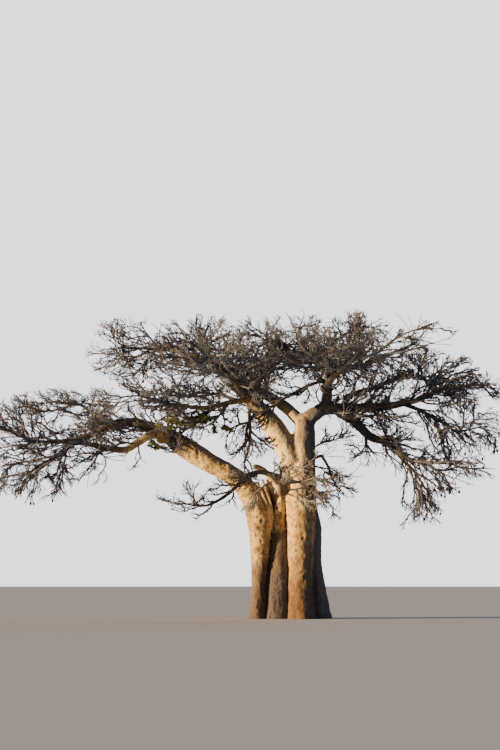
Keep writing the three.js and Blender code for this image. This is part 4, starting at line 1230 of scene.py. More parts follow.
# Twigs along the limbs
SHOOTS = (
    Shoots("branch_hanging", 0.3, 1.0, 10, (0.2, 0.7)),
    Shoots("branch_hanging_side", 0.3, 1.0, 5, (0.15, 0.4)),
    Shoots("branch_lit", 0.2, 1.0, 7, (0.2, 0.6)),
    Shoots("branch_elbow", 0.2, 1.0, 8, (0.2, 0.7)),
    Shoots("spike_right", 0.1, 0.85, 12, (0.15, 0.45), 0.1, (40, 70)),
    Shoots("spike_right_low", 0.1, 0.85, 7, (0.15, 0.35), 0.1, (40, 70)),
    Shoots("spike_top", 0.1, 1.0, 10, (0.12, 0.35), 0.3, (40, 70)),
    Shoots("bough_left", 0.45, 1.0, 20, (0.4, 1.0)),
    Shoots("bough_left_arch", 0.0, 1.0, 20, (0.4, 1.1)),
    Shoots("bough_left_low", 0.1, 1.0, 12, (0.5, 1.2)),
    Shoots("bough_left_low", 0.4, 1.0, 16, (0.5, 1.3), -0.1, (40, 75), 0.5),
    Shoots("bough_left", 0.7, 1.0, 8, (0.4, 0.9)),
    Shoots("bough_left_crest", 0.1, 1.0, 8),
    Shoots("bough_left_sag", 0.3, 1.0, 14, (0.3, 0.9)),
    Shoots("fork_left", 0.75, 1.0, 26, (0.4, 1.0)),
    Shoots("bough_upper_left", 0.0, 1.0, 20, (0.5, 1.3)),
    Shoots("bough_upper_left", 0.0, 0.5, 14, (0.4, 1.0), 0),
    Shoots("bough_mid_left", 0.05, 1.0, 14, (0.4, 1.1)),
    Shoots("bough_mid_left", 0.3, 1.0, 12, (0.4, 1.1), -0.4),
    Shoots("bough_hub", 0.1, 1.0, 12),
    Shoots("bough_front_left", 0.15, 1.0, 14),
    Shoots("bough_back_left", 0.25, 1.0, 16),
    Shoots("bough_back", 0.1, 1.0, 12),
    Shoots("fork_right", 0.5, 1.0, 8, (0.3, 0.8), 0),
    Shoots("upright", 0.2, 1.0, 28, (0.4, 1.1)),
    Shoots("bough_right", 0.05, 1.0, 28, (0.5, 1.5), 0.4, (40, 75), 0.2),
    Shoots("bough_right", 0.15, 0.9, 9, (0.4, 1.0), -0.8, (40, 75), 1),
    Shoots("bough_right", 0.0, 0.45, 18, (0.5, 1.2), 0.8, (40, 75)),
    Shoots("bough_right", 0.5, 1.0, 10, (1.2, 2.6), -0.9, (20, 60), 1),
    Shoots("bough_right_low", 0.25, 1.0, 12, (0.3, 0.8), 0.4, (40, 75), 1),
    Shoots("bough_top", 0.0, 1.0, 14, (0.4, 1.1), 0),
    Shoots("bough_centre", 0.05, 1.0, 24, (0.4, 1.1), 0),
    Shoots("bough_centre", 0.2, 1.0, 12, (0.4, 0.9), -0.7),
    Shoots("bough_front_right", 0.2, 1.0, 12),
    Shoots("bough_back_centre", 0.25, 1.0, 10),
    Shoots("bough_upper_right", 0.0, 0.7, 18, (0.5, 1.3), -0.6),
    Shoots("bough_back_right", 0.2, 1.0, 12),
    Shoots("branch_weeping", 0.1, 1.0, 16, (0.8, 1.9), -0.8, (20, 50), 1),
    Shoots("bough_right_low", 0.6, 1.0, 9, (0.8, 1.8), -0.4, (15, 45), 0.7),
    Shoots("branch_drooping", 0.35, 1.0, 10, (0.2, 0.6), -0.3, (25, 60), -0.8),
    Shoots("branch_drooping_side", 0.2, 1.0, 5, (0.15, 0.4), -0.4, (25, 60), -0.8),
    Shoots("side_high", 0.1, 1.0, 8, (0.12, 0.4), 0.1, (35, 70), -1),
    Shoots("side_mid", 0.1, 1.0, 9, (0.12, 0.4), 0, (35, 70), -1),
    Shoots("side_low", 0.1, 1.0, 5, (0.12, 0.4), -0.2, (35, 70), -1),
    Shoots("side_lowest", 0.1, 1.0, 5, (0.12, 0.4), -0.1, (35, 70), -1),
    Shoots("tangle_high", 0.1, 1.0, 10, (0.15, 0.45), 0.1, (35, 75), 0.3),
    Shoots("tangle_mid", 0.1, 1.0, 9, (0.15, 0.45), -0.1, (35, 75), 0.3),
    Shoots("tangle_low", 0.1, 1.0, 7, (0.15, 0.4), -0.2, (35, 75), 0.2),
    Shoots("tangle_top", 0.1, 1.0, 9, (0.15, 0.45), 0.1, (35, 75), 0.3),
    Shoots("tangle_left", 0.1, 1.0, 8, (0.15, 0.45), -0.2, (35, 75), 0.3),
    Shoots("branch_low_left", 0.15, 1.0, 14, (0.3, 0.8)),
    Shoots("branch_crossing", 0.1, 1.0, 22, (0.3, 0.8)),
)


def linear(hex_colour: str) -> tuple[float, float, float, float]:
    """Returns: an sRGB hex value as linear red, green, blue and full alpha."""
    parts = [int(hex_colour[i : i + 2], 16) / 255 for i in (1, 3, 5)]
    return (*(p / 12.92 if p <= 0.04045 else ((p + 0.055) / 1.055) ** 2.4 for p in parts), 1.0)


def add_node(
    tree: "bpy.types.NodeTree", kind: str, settings: dict | None = None, links: dict | None = None
) -> "bpy.types.Node":
    """Adds a node.

    Args:
        tree: the material's node tree.
        kind: the node's type name.
        settings: attributes by name, and values of inputs by socket name or number.
        links: the output socket that feeds each input, by socket name or number.

    Returns: the new node.
    """
    node = tree.nodes.new(kind)
    for key, value in (settings or {}).items():
        if isinstance(key, str) and hasattr(node, key):
            setattr(node, key, value)
        else:
            node.inputs[key].default_value = value
    for key, output in (links or {}).items():
        tree.links.new(output, node.inputs[key])
    return node


def new_material(name: str) -> tuple["bpy.types.Material", "bpy.types.NodeTree", "bpy.types.Node"]:
    """Returns: a material, its node tree emptied but for the shader, and the shader."""
    material = bpy.data.materials.new(name)
    material.use_nodes = True
    tree = material.node_tree
    tree.nodes.clear()
    shader = add_node(tree, "ShaderNodeBsdfPrincipled")
    add_node(tree, "ShaderNodeOutputMaterial", {}, {"Surface": shader.outputs["BSDF"]})
    return material, tree, shader


@dataclass(frozen=True)
class BarkFinish:
    """Smooth, waxy bark of a baobab: a thin papery skin over a thick one, stretched as the wood
    swells. The eye gets a matt pale tan with grey weathering on thin limbs, rusty stains below,
    dark round scars where shoots have dropped, thin dark cracks and cross wrinkles. Painted shade
    is laid in too: grey on the tops of limbs, grey-brown on shaded limbs and stems, darker towards
    the ground, dark bluish grey on the side away from the light and dark in the creases, with a
    painted light on the lit side of the fork."""

    name: str = "smooth baobab bark"
    pale: str = "#E8CA84"
    warm: str = "#B0894F"
    # the ridge's and props' own pale colour, and a painted light on the lit side of the fork
    pale_and_painted_light: str = "#ECCF94"
    # a painted shade: grey on the tops of limbs
    grey: str = "#9A9187"
    # partly grey-brown weathering of thin limbs and partly a painted shade on shaded limbs and stems
    weathered_and_shaded: str = "#3D3D3F"
    # partly a rusty stain and partly a painted shade, darker towards the ground
    rust_and_shade: str = "#503216"
    # a painted shade: dark bluish grey on the side of the wood away from the light
    side_shade_slate: str = "#66666B"
    blotch: str = "#7E623F"
    dark: str = "#3A2A20"
    pit_mm: float = 210
    stain_mm: float = 380
    mottle_mm: float = 90
    blotch_mm: float = 170
    crack_mm: float = 260
    wrinkle_mm: float = 55
    crack_stretch: float = 0.45
    wrinkle_stretch: float = 4.0
    roughness: float = 0.85
    bump: float = 0.9
    bump_mm: float = 22

    def make(self) -> "bpy.types.Material":
        """Returns: the material, which reads Object coordinates and the bark's own attributes."""
        material, tree, shader = new_material(self.name)
        where = add_node(tree, "ShaderNodeTexCoord").outputs["Object"]
        tall, flat = (
            add_node(
                tree, "ShaderNodeMapping", {"Scale": (1, 1, stretch)}, {"Vector": where}
            ).outputs["Vector"]
            for stretch in (self.crack_stretch, self.wrinkle_stretch)
        )
        noises = {}
        for key, vector, size_mm, detail in (
            ("stain", where, self.stain_mm, 4.0),
            ("mottle", where, self.mottle_mm, 4.0),
            ("blotch", where, self.blotch_mm, 3.0),
            ("mask", where, self.stain_mm * 0.6, 1.0),
            ("crack", tall, self.crack_mm, 1.5),
            ("wrinkle", flat, self.wrinkle_mm * self.wrinkle_stretch, 1.5),
        ):
            settings = {"Scale": 1 / (size_mm * MM), "Detail": detail, "Roughness": 0.6}
            made = add_node(tree, "ShaderNodeTexNoise", settings, {"Vector": vector})
            noises[key] = made.outputs["Fac"]
        settings = {"Scale": 1 / (self.pit_mm * MM)}
        cells = add_node(tree, "ShaderNodeTexVoronoi", settings, {"Vector": where})
        noises["pit"] = cells.outputs["Distance"]
        # A crack or a cross wrinkle runs where its noise is near its middle value
        for key in ("crack", "wrinkle"):
            settings = {"operation": "SUBTRACT", 1: 0.5}
            offset = add_node(tree, "ShaderNodeMath", settings, {0: noises[key]}).outputs[0]
            settings = {"operation": "ABSOLUTE"}
            noises[key] = add_node(tree, "ShaderNodeMath", settings, {0: offset}).outputs[0]
        # From each noise: where it starts to show, where it is full, and how strong it is there
        factors = {}
        for key, low, high, share in (
            ("stain", 0.42, 0.62, 0.8),
            ("mottle", 0.45, 0.7, 0.7),
            ("mask", 0.42, 0.52, 1.0),
            ("blotch", 0.52, 0.64, 0.75),
            ("crack", 0.012, 0.003, 0.3),
            ("wrinkle", 0.016, 0.003, 0.2),
            ("pit", 0.17, 0.1, 0.8),
        ):
            settings = {"From Min": low, "From Max": high, "To Max": share}
            made = add_node(tree, "ShaderNodeMapRange", settings, {"Value": noises[key]})
            factors[key] = made.outputs["Result"]
        for key in ("crack", "wrinkle"):
            links = {0: factors[key], 1: factors["mask"]}
            made = add_node(tree, "ShaderNodeMath", {"operation": "MULTIPLY"}, links)
            factors[key] = made.outputs[0]
        # The shares that the bark's relief gives, among them painted shade and painted light
        for key in ("shaded_top", "foot", "painted_side_shade", "weather_and_shade", "scar", "painted_crease_shade", "pale_and_painted_light"):
            made = add_node(tree, "ShaderNodeAttribute", {"attribute_name": key})
            factors[key] = made.outputs["Fac"]
        colour = None
        for key, second in (
            ("stain", self.warm),
            ("mottle", self.warm),
            ("blotch", self.blotch),
            ("shaded_top", self.grey),
            ("foot", self.rust_and_shade),
            ("weather_and_shade", self.weathered_and_shaded),
            ("painted_side_shade", self.side_shade_slate),
            ("wrinkle", self.dark),
            ("crack", self.dark),
            ("pit", self.dark),
            ("painted_crease_shade", self.dark),
            ("scar", self.dark),
            ("pale_and_painted_light", self.pale_and_painted_light),
        ):
            settings = {"data_type": "RGBA", 7: linear(second)}
            links = {0: factors[key]}
            if colour is None:
                settings[6] = linear(self.pale)
            else:
                links[6] = colour
            colour = add_node(tree, "ShaderNodeMix", settings, links).outputs[2]
        tree.links.new(colour, shader.inputs["Base Color"])
        shader.inputs["Roughness"].default_value = self.roughness
        height = noises["mottle"]
        for key in ("blotch", "crack", "wrinkle", "pit"):
            links = {0: height, 1: factors[key]}
            height = add_node(tree, "ShaderNodeMath", {"operation": "SUBTRACT"}, links).outputs[0]
        settings = {"Strength": self.bump, "Distance": self.bump_mm * MM}
        bump = add_node(tree, "ShaderNodeBump", settings, {"Height": height})
        tree.links.new(bump.outputs["Normal"], shader.inputs["Normal"])
        return material


class TwigColour(Enum):
    """The colours that twigs are dealt by spray: a name, a hex value and a share of the sprays."""

    DARK = ("dark grey-brown twig bark", "#55545A", 0.45)
    WARM = ("warm brown twig bark", "#776F6B", 0.25)
    ASH = ("ash grey twig bark", "#93928F", 0.3)

    def __init__(self, title: str, colour: str, share: float) -> None:
        """Keeps the finish's name, colour and share."""
        self.title = title
        self.colour = colour
        self.share = share


@dataclass(frozen=True)
class PlainFinish:
    """A dull natural skin of one plain colour with a fine grain that roughens it, as on young
    bark, leaves, a velvety fruit or dead wood bleached by sun and rain."""

    name: str
    colour: str
    roughness: float
    grain_mm: float
    bump: float
    sheen: float = 0.0

    def make(self) -> "bpy.types.Material":
        """Returns: the material, with its grain on Object coordinates."""
        material, tree, shader = new_material(self.name)
        shader.inputs["Base Color"].default_value = linear(self.colour)
        shader.inputs["Roughness"].default_value = self.roughness
        shader.inputs["Sheen Weight"].default_value = self.sheen
        where = add_node(tree, "ShaderNodeTexCoord").outputs["Object"]
        settings = {"Scale": 1 / (self.grain_mm * MM), "Detail": 2.0}
        grain = add_node(tree, "ShaderNodeTexNoise", settings, {"Vector": where}).outputs["Fac"]
        settings = {"Strength": self.bump, "Distance": 4 * MM}
        bump = add_node(tree, "ShaderNodeBump", settings, {"Height": grain})
        tree.links.new(bump.outputs["Normal"], shader.inputs["Normal"])
        return material


# The two forks of the trunk, and the limbs that leave without a collar at the root
FORKS = ("fork_left", "fork_right")
WITHOUT_COLLAR = (*FORKS, "bough_left")


@dataclass
class WoodBody:
    """Trunk or boughs as one skin: round tubes along the source's lines, grown together by a voxel
    remesh, with their crotches filled and the bark's relief worked in. Where the body has only a
    part of a limb, cuts tells from where to where, in metres from the limb's root, and at a cut
    the tube fades into the body that carries on."""

    name: str
    voxel: float
    limbs: tuple[str, ...]
    cuts: dict[str, tuple[float, float | None]]
    knobs: tuple[tuple[float, float, float, float, float], ...] = ()
    with_stems: bool = False

    SIDES = 32
    STEP = 0.05
    FADE = 0.4
    FADED = 0.8
    COLLAR = 0.22
    ROOT_SINK = 0.35
    ROOT_TAPER = 0.9
    BLUNT = 0.5
    LENGTH_STEPS = 10
    LEAST_STEPS = 6
    PROP_STEPS = 16
    PROP_SIDES = 16
    STEM_RINGS = 120
    FOOT_DEPTH = 0.12
    FILL_ROUNDS = 26
    FILL_SHARES = (0.0, 0.95)
    FILL_HEIGHTS = (4.0, 5.0)
    SMOOTH_ROUNDS = 4
    SMOOTH_STEPS = (0.5, -0.52)

    def slot(self) -> str:
        """Returns: the record's material slot."""
        return "trunk_bark" if self.with_stems else "bough_bark"

    def nodes(self) -> tuple[str, ...]:
        """Returns: the source's nodes that the body replaces. Both forks go with the trunk."""
        if self.with_stems:
            return ("trunk", *FORKS)
        return tuple(name for name in self.limbs if name not in FORKS)

    def limb_tube(self, name: str) -> Surface:
        """The tube of a limb: its line and taper, with a collar at the root that swells by
        COLLAR * exp(-distance / radius), a swelling on the way that follows
        1 + share * exp(-(distance / width)^2), and the fades where other bodies carry on."""
        limb = LIMBS[name]
        line, _ = limb_line(name, self.LENGTH_STEPS)
        length = np.sum(np.linalg.norm(np.diff(line, axis=0), axis=1))
        steps = max(self.LEAST_STEPS, round(length / self.STEP))
        points, radii = limb_line(name, steps)
        along = np.linspace(0, length, steps + 1)
        if name not in WITHOUT_COLLAR:
            radii = radii * (1 + self.COLLAR * np.exp(-along / limb.root))
        if limb.swelling:
            middle, width, share = limb.swelling
            radii = radii * (1 + share * np.exp(-(((along - middle) / width) ** 2)))
        start, end = self.cuts.get(name, (0, None))
        if start > 0:
            radii = radii * lerp(self.FADED, 1, smooth_step(start, start + self.FADE, along))
        if end is not None:
            radii = radii * lerp(1, self.FADED, smooth_step(end - self.FADE, end, along))
        kept = (along >= start) & (along <= (length if end is None else end))
        points, radii = points[kept], radii[kept]
        if start == 0:
            back = unit(points[0] - points[1]) * limb.root * self.ROOT_SINK
            points = np.vstack([points[0] + back, points])
            radii = np.concatenate([radii[:1] * self.ROOT_TAPER, radii])
        return tubes(points[None], radii[None], self.SIDES, self.BLUNT)

    def stem_tube(self, stations: tuple) -> Surface:
        """A stem of the trunk: its smooth line and girth, swelling by FLARE_SHARE * exp(-z /
        FLARE_HEIGHT) towards the ground."""
        table = np.array(stations, float)
        shares = np.linspace(0, 1, self.STEM_RINGS + 1)
        points = SmoothLine(table[:, :3]).at(shares)
        girths = np.stack([table[:, 3], np.zeros(len(table)), table[:, 2]], axis=1)
        radii = SmoothLine(girths).at(shares)[:, 0]
        radii = radii * (1 + FLARE_SHARE * np.exp(-np.maximum(points[:, 2], 0) / FLARE_HEIGHT))
        if table[0, 2] == 0:
            points = np.vstack([points[0] - (0, 0, self.FOOT_DEPTH), points])
            radii = np.concatenate([radii[:1], radii])
        return tubes(points[None], radii[None], 2 * self.SIDES, self.BLUNT)

    def remeshed(self, rough: Surface) -> Surface:
        """Returns: the overlapping tubes as one skin of even quads, by a voxel remesh."""
        piece = rough.to_object(self.name + "_rough", [])
        remesh = piece.modifiers.new("grown together", "REMESH")
        remesh.mode = "VOXEL"
        remesh.voxel_size = self.voxel
        graph = bpy.context.evaluated_depsgraph_get()
        mesh = bpy.data.meshes.new_from_object(piece.evaluated_get(graph))
        vertices = np.empty(len(mesh.vertices) * 3, np.float32)
        mesh.vertices.foreach_get("co", vertices)
        corners = np.empty(len(mesh.loops), np.int32)
        mesh.loops.foreach_get("vertex_index", corners)
        sizes = np.empty(len(mesh.polygons), np.int32)
        mesh.polygons.foreach_get("loop_total", sizes)
        starts = np.concatenate([[0], np.cumsum(sizes)[:-1]])
        quads = corners[starts[sizes == 4][:, None] + np.arange(4)]
        triangles = corners[starts[sizes == 3][:, None] + np.arange(3)]
        old = piece.data
        bpy.data.objects.remove(piece)
        bpy.data.meshes.remove(old)
        bpy.data.meshes.remove(mesh)
        return Surface(vertices.reshape(-1, 3).astype(float), quads, triangles)

    def fill_crotches(self, skin: Surface) -> None:
        """Moves hollow places outwards, round after round: each vertex goes along its normal by the
        part of (neighbours' mean - vertex) that points outwards. The creases between the lower
        stems are filled less."""
        height = smooth_step(*self.FILL_HEIGHTS, skin.vertices[:, 2])
        share = lerp(*self.FILL_SHARES, height)
        for _ in range(self.FILL_ROUNDS):
            normals = skin.normals()
            pull = skin.neighbour_mean(skin.vertices) - skin.vertices
            hollow = np.maximum(np.sum(pull * normals, axis=1), 0)
            skin.vertices = skin.vertices + normals * (hollow * share)[:, None]

    def smooth(self, skin: Surface) -> None:
        """Takes the voxel steps off without shrinking: a half step towards the neighbours' mean
        and a slightly longer one away from it, in turn."""
        for _ in range(self.SMOOTH_ROUNDS):
            for step in self.SMOOTH_STEPS:
                pull = skin.neighbour_mean(skin.vertices) - skin.vertices
                skin.vertices = skin.vertices + step * pull

    def build(self) -> Surface:
        """Returns: the finished skin with the attributes that the bark reads."""
        parts = [self.limb_tube(name) for name in self.limbs]
        parts += [knob(*place) for place in self.knobs]
        if self.with_stems:
            parts += [self.stem_tube(stations) for stations in STEMS.values()]
            for name in PROPS:
                points, radii = limb_line(name, self.PROP_STEPS)
                parts.append(tubes(points[None], radii[None], self.PROP_SIDES))
        skin = self.remeshed(Surface.joined(parts))
        self.fill_crotches(skin)
        self.smooth(skin)
        BarkRelief().work(skin)
        return skin


# A knob's rings and sides, and where on a half sine its radius starts and how far it follows
KNOB_RINGS = 9
KNOB_SIDES = 16
KNOB_SINE = (0.08, 0.84)


def knob(x: float, y: float, z: float, radius: float, length: float) -> Surface:
    """A swelling or burl: a short tube along X with round ends, whose radius follows a half sine."""
    share = np.linspace(0, 1, KNOB_RINGS)
    points = np.array([x, y, z]) + np.outer(share - 0.5, (length, 0, 0))
    first, way = KNOB_SINE
    radii = radius * np.sin(math.pi * (first + way * share))
    return tubes(points[None], radii[None], KNOB_SIDES)


# Stems painted with a grey-brown shade low down: how much, and up to which height
PAINTED_SHADE_ON_STEMS = {"left": (0.5, 2.3), "middle": (0.75, 3.4), "right": (0.85, 5.2)}

# Dark hollows on the front of the stems and of the left fork, as (x, z, radius)
HOLLOWS = (
    (-1.17, 3.61, 0.05), (-1.03, 3.46, 0.07), (-1.14, 3.21, 0.11), (-1.24, 2.99, 0.06),
    (-0.88, 3.86, 0.05), (-1.3, 3.9, 0.06), (-1.05, 2.75, 0.06), (-1.1, 2.45, 0.05),
    (-0.38, 3.57, 0.05), (-0.34, 3.75, 0.05), (-0.47, 3.93, 0.05), (0.08, 3.36, 0.05),
    (0.2, 2.41, 0.06), (0.44, 2.85, 0.04), (-0.97, 7.24, 0.06), (-0.79, 7.19, 0.05),
    (-0.29, 6.47, 0.05), (-0.47, 6.7, 0.045), (0.05, 5.6, 0.05), (0.25, 6.1, 0.05),
)


@dataclass(frozen=True)
class BarkRelief:
    """The relief of the bark and the places of its colours, all functions of place, direction and
    girth alone, so that bodies that overlap agree. A pair of numbers tells where something starts
    and where it is full, and four tell where it starts, is full, fades and is gone."""

    seed: int = 41

    # Layers of relief: depth, size along X, Y and Z, what is added to the seed, and octaves
    LAYERS = (
        (0.034, (0.8, 0.8, 1.1), 0, 3),
        (0.034, (0.22, 0.22, 0.6), 10, 3),
        (0.014, (0.11, 0.11, 0.13), 50, 2),
    )
    WRINKLE_DEPTH = 0.013
    WRINKLE_SIZE = (0.5, 0.5, 0.1)
    # Bands of strong cross wrinkles, as height and half width, and how strong off them and on them
    BANDS = ((4.74, 0.3), (3.32, 0.35))
    BAND_SHARES = (0.4, 1.4)
    # The groove arched over the middle stem and the roll under it: depth, half width, and how far down
    ARCH_HEIGHT = 4.6
    ARCH_BEND = 1.6
    ARCH_SIDES = (-0.6, -0.45, 0.3, 0.45)
    GROOVE = (0.04, 0.05, 0)
    ROLL = (0.03, 0.12, 0.2)
    # Thin and thick wood, the least girth of relief as a share of thin, and how deep it is there
    GIRTHS = (0.12, 0.34)
    THINNEST = 0.4
    DEPTH_ON_THIN = 0.22
    CUT_HEIGHT = 0.002
    # Places looked at along a stem and a limb, how wide the edges of weathering are there, in
    # metres of height and as a share of the length, and how many vertices are matched at a time
    STEM_PLACES = 60
    LIMB_PLACES = 30
    STEM_EDGE = 0.5
    LIMB_EDGE = 0.2
    MATCHED_AT_ONCE = 20000

    # Scars: how many on each line, how flat their directions lie, their radii, depth and softness
    SCARS_PER_LINE = 34
    SCARRED_LIMBS = ("bough_left", "fork_left", "fork_right", "upright", "bough_left_sag")
    SCAR_FLATNESS = 0.35
    SCAR_RADII = (0.018, 0.06)
    SCAR_DEPTH = 0.026
    SCAR_SOFTNESS = 0.85
    SCAR_REACH = 3
    HOLLOW_STRETCH = 1.3
    FRONT_FACING = -0.1

    # Colours: the sizes of patches and speckles, and how far the speckles shift each edge
    PATCH_SIZE = (1.2, 1.2, 1.2)
    SPECK_SIZE = (0.35, 0.35, 0.35)
    SPECKS = {"girth": 0.07, "shaded_top": 0.3, "foot": 0.8, "arm": 0.1, "painted_side_shade": 0.12, "worn_and_shaded": 0.2}
    # A painted grey shade on the tops of limbs: where the skin's upward facing starts it and where it
    # is full
    SHADED_TOP_FACING = (0.1, 0.7)
    # A rusty stain that also paints the shade towards the ground: in full below the first height, gone
    # above the second
    FOOT_HEIGHTS = (0.6, 4.6)
    FORK_HEIGHTS = (4.2, 5, 7, 8)
    FORK_SIDES = (-1.4, -0.8, 0.6, 0.8)
    # A painted shade on the arm to the right fork: the heights, and from where along X it comes in
    ARM_HEIGHTS = (5.7, 6.5, 7, 8)
    ARM_SIDE = (0.1, 0.35)
    HIGH = (3.6, 4.8)
    # A painted shade on the side of the wood away from the light: how far the skin faces away, how much
    # facing the front adds, how much more high up, and from where along X it comes in
    PAINTED_SIDE_SHADE_FACING = (0.05, 0.5)
    PAINTED_SIDE_SHADE_ON_FRONT = 0.1
    PAINTED_SIDE_SHADE_WHEN_HIGH = 0.3
    PAINTED_SIDE_SHADE_FROM = (-1.2, -0.2)
    RIGHT_STEM_FROM = (0.85, 1.05)
    # A painted shade in creases: how far a vertex lies below the mean of its neighbours
    CREASES = (0.0008, 0.004)
    # The most of each colour, and the most painted side shade low down and high up or on the right stem
    MOST = {"shaded_top": 0.85, "foot": 0.95, "thin": 0.9, "arm": 0.6, "scar": 0.9, "painted_crease_shade": 0.9}
    MOST_PAINTED_SIDE_SHADE = (0.5, 0.95)
    # Pale bark on the ridge and a painted light on the lit side of the fork: each one's share without
    # speckles, the least and the most, and how much of the painted light the side shade takes
    BARE_RIDGE = (0.5, 0.1, 0.7)
    PAINTED_LIGHT_ON_FORK = (0.95, 0.5, 1)
    SIDE_SHADE_OVER_PAINTED_LIGHT = 0.8
    PAINTED_SIDE_SHADE_POWER = 1.5
    SCAR_CORE = (1.3, 0.15)
    RIDGE_EDGES = (1.05, 1.6)

    def scar_places(self) -> np.ndarray:
        """Seeded places on the stems and thick boughs: a random share along each line, and a random
        turn round it, at its own radius.

        Returns: shape (n, 4), the place and the scar's radius.
        """
        random = np.random.default_rng(self.seed)
        rows = []
        lines = [np.array(stations, float) for stations in STEMS.values()]
        for name in self.SCARRED_LIMBS:
            lines.append(np.column_stack(limb_line(name, 8)))
        for line in lines:
            along = SmoothLine(line).at(random.random(self.SCARS_PER_LINE))
            aside = unit(random.normal(0, 1, (len(along), 3)) * (1, 1, self.SCAR_FLATNESS))
            places = along[:, :3] + aside * along[:, 3:]
            rows.append(np.column_stack([places, random.uniform(*self.SCAR_RADII, len(places))]))
        return np.vstack(rows)

    def scarred(self, points: np.ndarray, normals: np.ndarray) -> np.ndarray:
        """Returns: how far in a scar or a hollow each point lies, exp(-(gap / radius)^2) of it."""
        scar = np.zeros(len(points))
        for x, y, z, radius in self.scar_places():
            near = np.flatnonzero(np.abs(points[:, 2] - z) < self.SCAR_REACH * radius)
            gap = np.linalg.norm(points[near] - (x, y, z), axis=1) / radius
            scar[near] = np.maximum(scar[near], np.exp(-((gap / self.SCAR_SOFTNESS) ** 2)))
        front = normals[:, 1] < self.FRONT_FACING
        for x, z, radius in HOLLOWS:
            gap = np.hypot(points[:, 0] - x, (points[:, 2] - z) / self.HOLLOW_STRETCH) / radius
            scar = np.maximum(scar, np.exp(-((gap / self.SCAR_SOFTNESS) ** 2)) * front)
        return scar

    def nearest(self, points: np.ndarray) -> tuple[np.ndarray, np.ndarray]:
        """Returns: at each point the radius of the stem or limb whose skin is nearest, and how much
        grey-brown it has all round, partly weathering and partly a painted shade, or -1 where its girth
        tells that."""
        tables = []
        for name, stations in STEMS.items():
            line = SmoothLine(np.array(stations, float)).at(np.linspace(0, 1, self.STEM_PLACES))
            share, top = PAINTED_SHADE_ON_STEMS.get(name, (0, 1))
            worn_and_shaded = share * smooth_step(top, top - self.STEM_EDGE, line[:, 2])
            tables.append(np.column_stack([line, worn_and_shaded]))
        for name, limb in (LIMBS | PROPS).items():
            places, radii = limb_line(name, self.LIMB_PLACES)
            share, full = limb.worn_and_shaded
            along = np.linspace(0, 1, self.LIMB_PLACES + 1)
            worn_and_shaded = share * smooth_step(full - self.LIMB_EDGE, full, along)
            tables.append(np.column_stack([places, radii, worn_and_shaded]))
        table = np.vstack(tables).astype(np.float32)
        found = np.empty((len(points), 2))
        for first in range(0, len(points), self.MATCHED_AT_ONCE):
            rows = slice(first, first + self.MATCHED_AT_ONCE)
            part = points[rows].astype(np.float32)
            square = np.sum(part**2, axis=1)[:, None] + np.sum(table[:, :3] ** 2, axis=1)
            gaps = np.sqrt(np.maximum(square - 2 * part @ table[:, :3].T, 0)) - table[:, 3]
            found[rows] = table[np.argmin(gaps, axis=1), 3:]
        return found[:, 0], found[:, 1]

    def thickness(self, girth: np.ndarray) -> np.ndarray:
        """Returns: 0 on the thinnest twigs and 1 on thick wood."""
        return smooth_step(self.GIRTHS[0] * self.THINNEST, self.GIRTHS[1], girth)

    def relief(self, points: np.ndarray) -> np.ndarray:
        """Returns: how far thick wood stands out at each point: lumps, upright dents, pebbles,
        cross wrinkles, and the groove and the roll over the middle stem."""
        x, y, z = points.T
        moved = np.zeros(len(points))
        for depth, size, step, octaves in self.LAYERS:
            moved += depth * layered_noise(points, size, self.seed + step, octaves)
        bands = sum(np.exp(-(((z - height) / width) ** 2)) for height, width in self.BANDS)
        wrinkled = layered_noise(points, self.WRINKLE_SIZE, self.seed + 20, 2)
        moved += self.WRINKLE_DEPTH * wrinkled * (self.BAND_SHARES[0] + self.BAND_SHARES[1] * bands)
        above = z - (self.ARCH_HEIGHT - self.ARCH_BEND * x**2)
        groove, roll = (
            depth * np.exp(-(((above + down) / width) ** 2))
            for depth, width, down in (self.GROOVE, self.ROLL)
        )
        return moved - window(x, *self.ARCH_SIDES) * (y < 0) * (groove - roll)

    def colour_shares(
        self, points: np.ndarray, normals: np.ndarray, girth: np.ndarray, worn_and_shaded: np.ndarray
    ) -> dict[str, np.ndarray]:
        """Where the bark takes its other colours: a painted grey shade on top of limbs, a rusty stain
        low down that also paints the shade darker towards the ground, a painted dark bluish grey shade
        on the side away from the light, grey-brown all round, which is weathering on thin limbs and a
        painted shade on shaded limbs and stems and on the arm to the right fork, and pale on the ridge
        and the props, with a painted light on the lit side of the fork.

        Args:
            points, normals: shape (n, 3).
            girth: the radius of the wood there.
            worn_and_shaded: how grey-brown it is, partly weathering and partly a painted shade, or -1
                where its girth tells that.

        Returns: the shares, from 0 to 1, by the names that the bark reads.
        """
        x, _, z = points.T
        specks = layered_noise(points, self.SPECK_SIZE, self.seed + 30)
        speck = {key: share * specks for key, share in self.SPECKS.items()}
        patch = layered_noise(points, self.PATCH_SIZE, self.seed + 40)
        thin = 1 - smooth_step(*self.GIRTHS, girth + speck["girth"])
        # A painted shade on the arm to the right fork
        arm = window(z, *self.ARM_HEIGHTS) * smooth_step(*self.ARM_SIDE, x + speck["arm"])
        fork = window(z, *self.FORK_HEIGHTS) * window(x, *self.FORK_SIDES) * (1 - arm)
        high = smooth_step(*self.HIGH, z)
        # A painted shade where the skin faces away from the light, stronger high up and on the right
        # stem
        facing = normals[:, 0] - self.PAINTED_SIDE_SHADE_ON_FRONT * normals[:, 1] + speck["painted_side_shade"]
        painted_side_shade = smooth_step(*self.PAINTED_SIDE_SHADE_FACING, facing + self.PAINTED_SIDE_SHADE_WHEN_HIGH * high)
        most_painted_side_shade = lerp(*self.MOST_PAINTED_SIDE_SHADE, np.maximum(high, smooth_step(*self.RIGHT_STEM_FROM, x)))
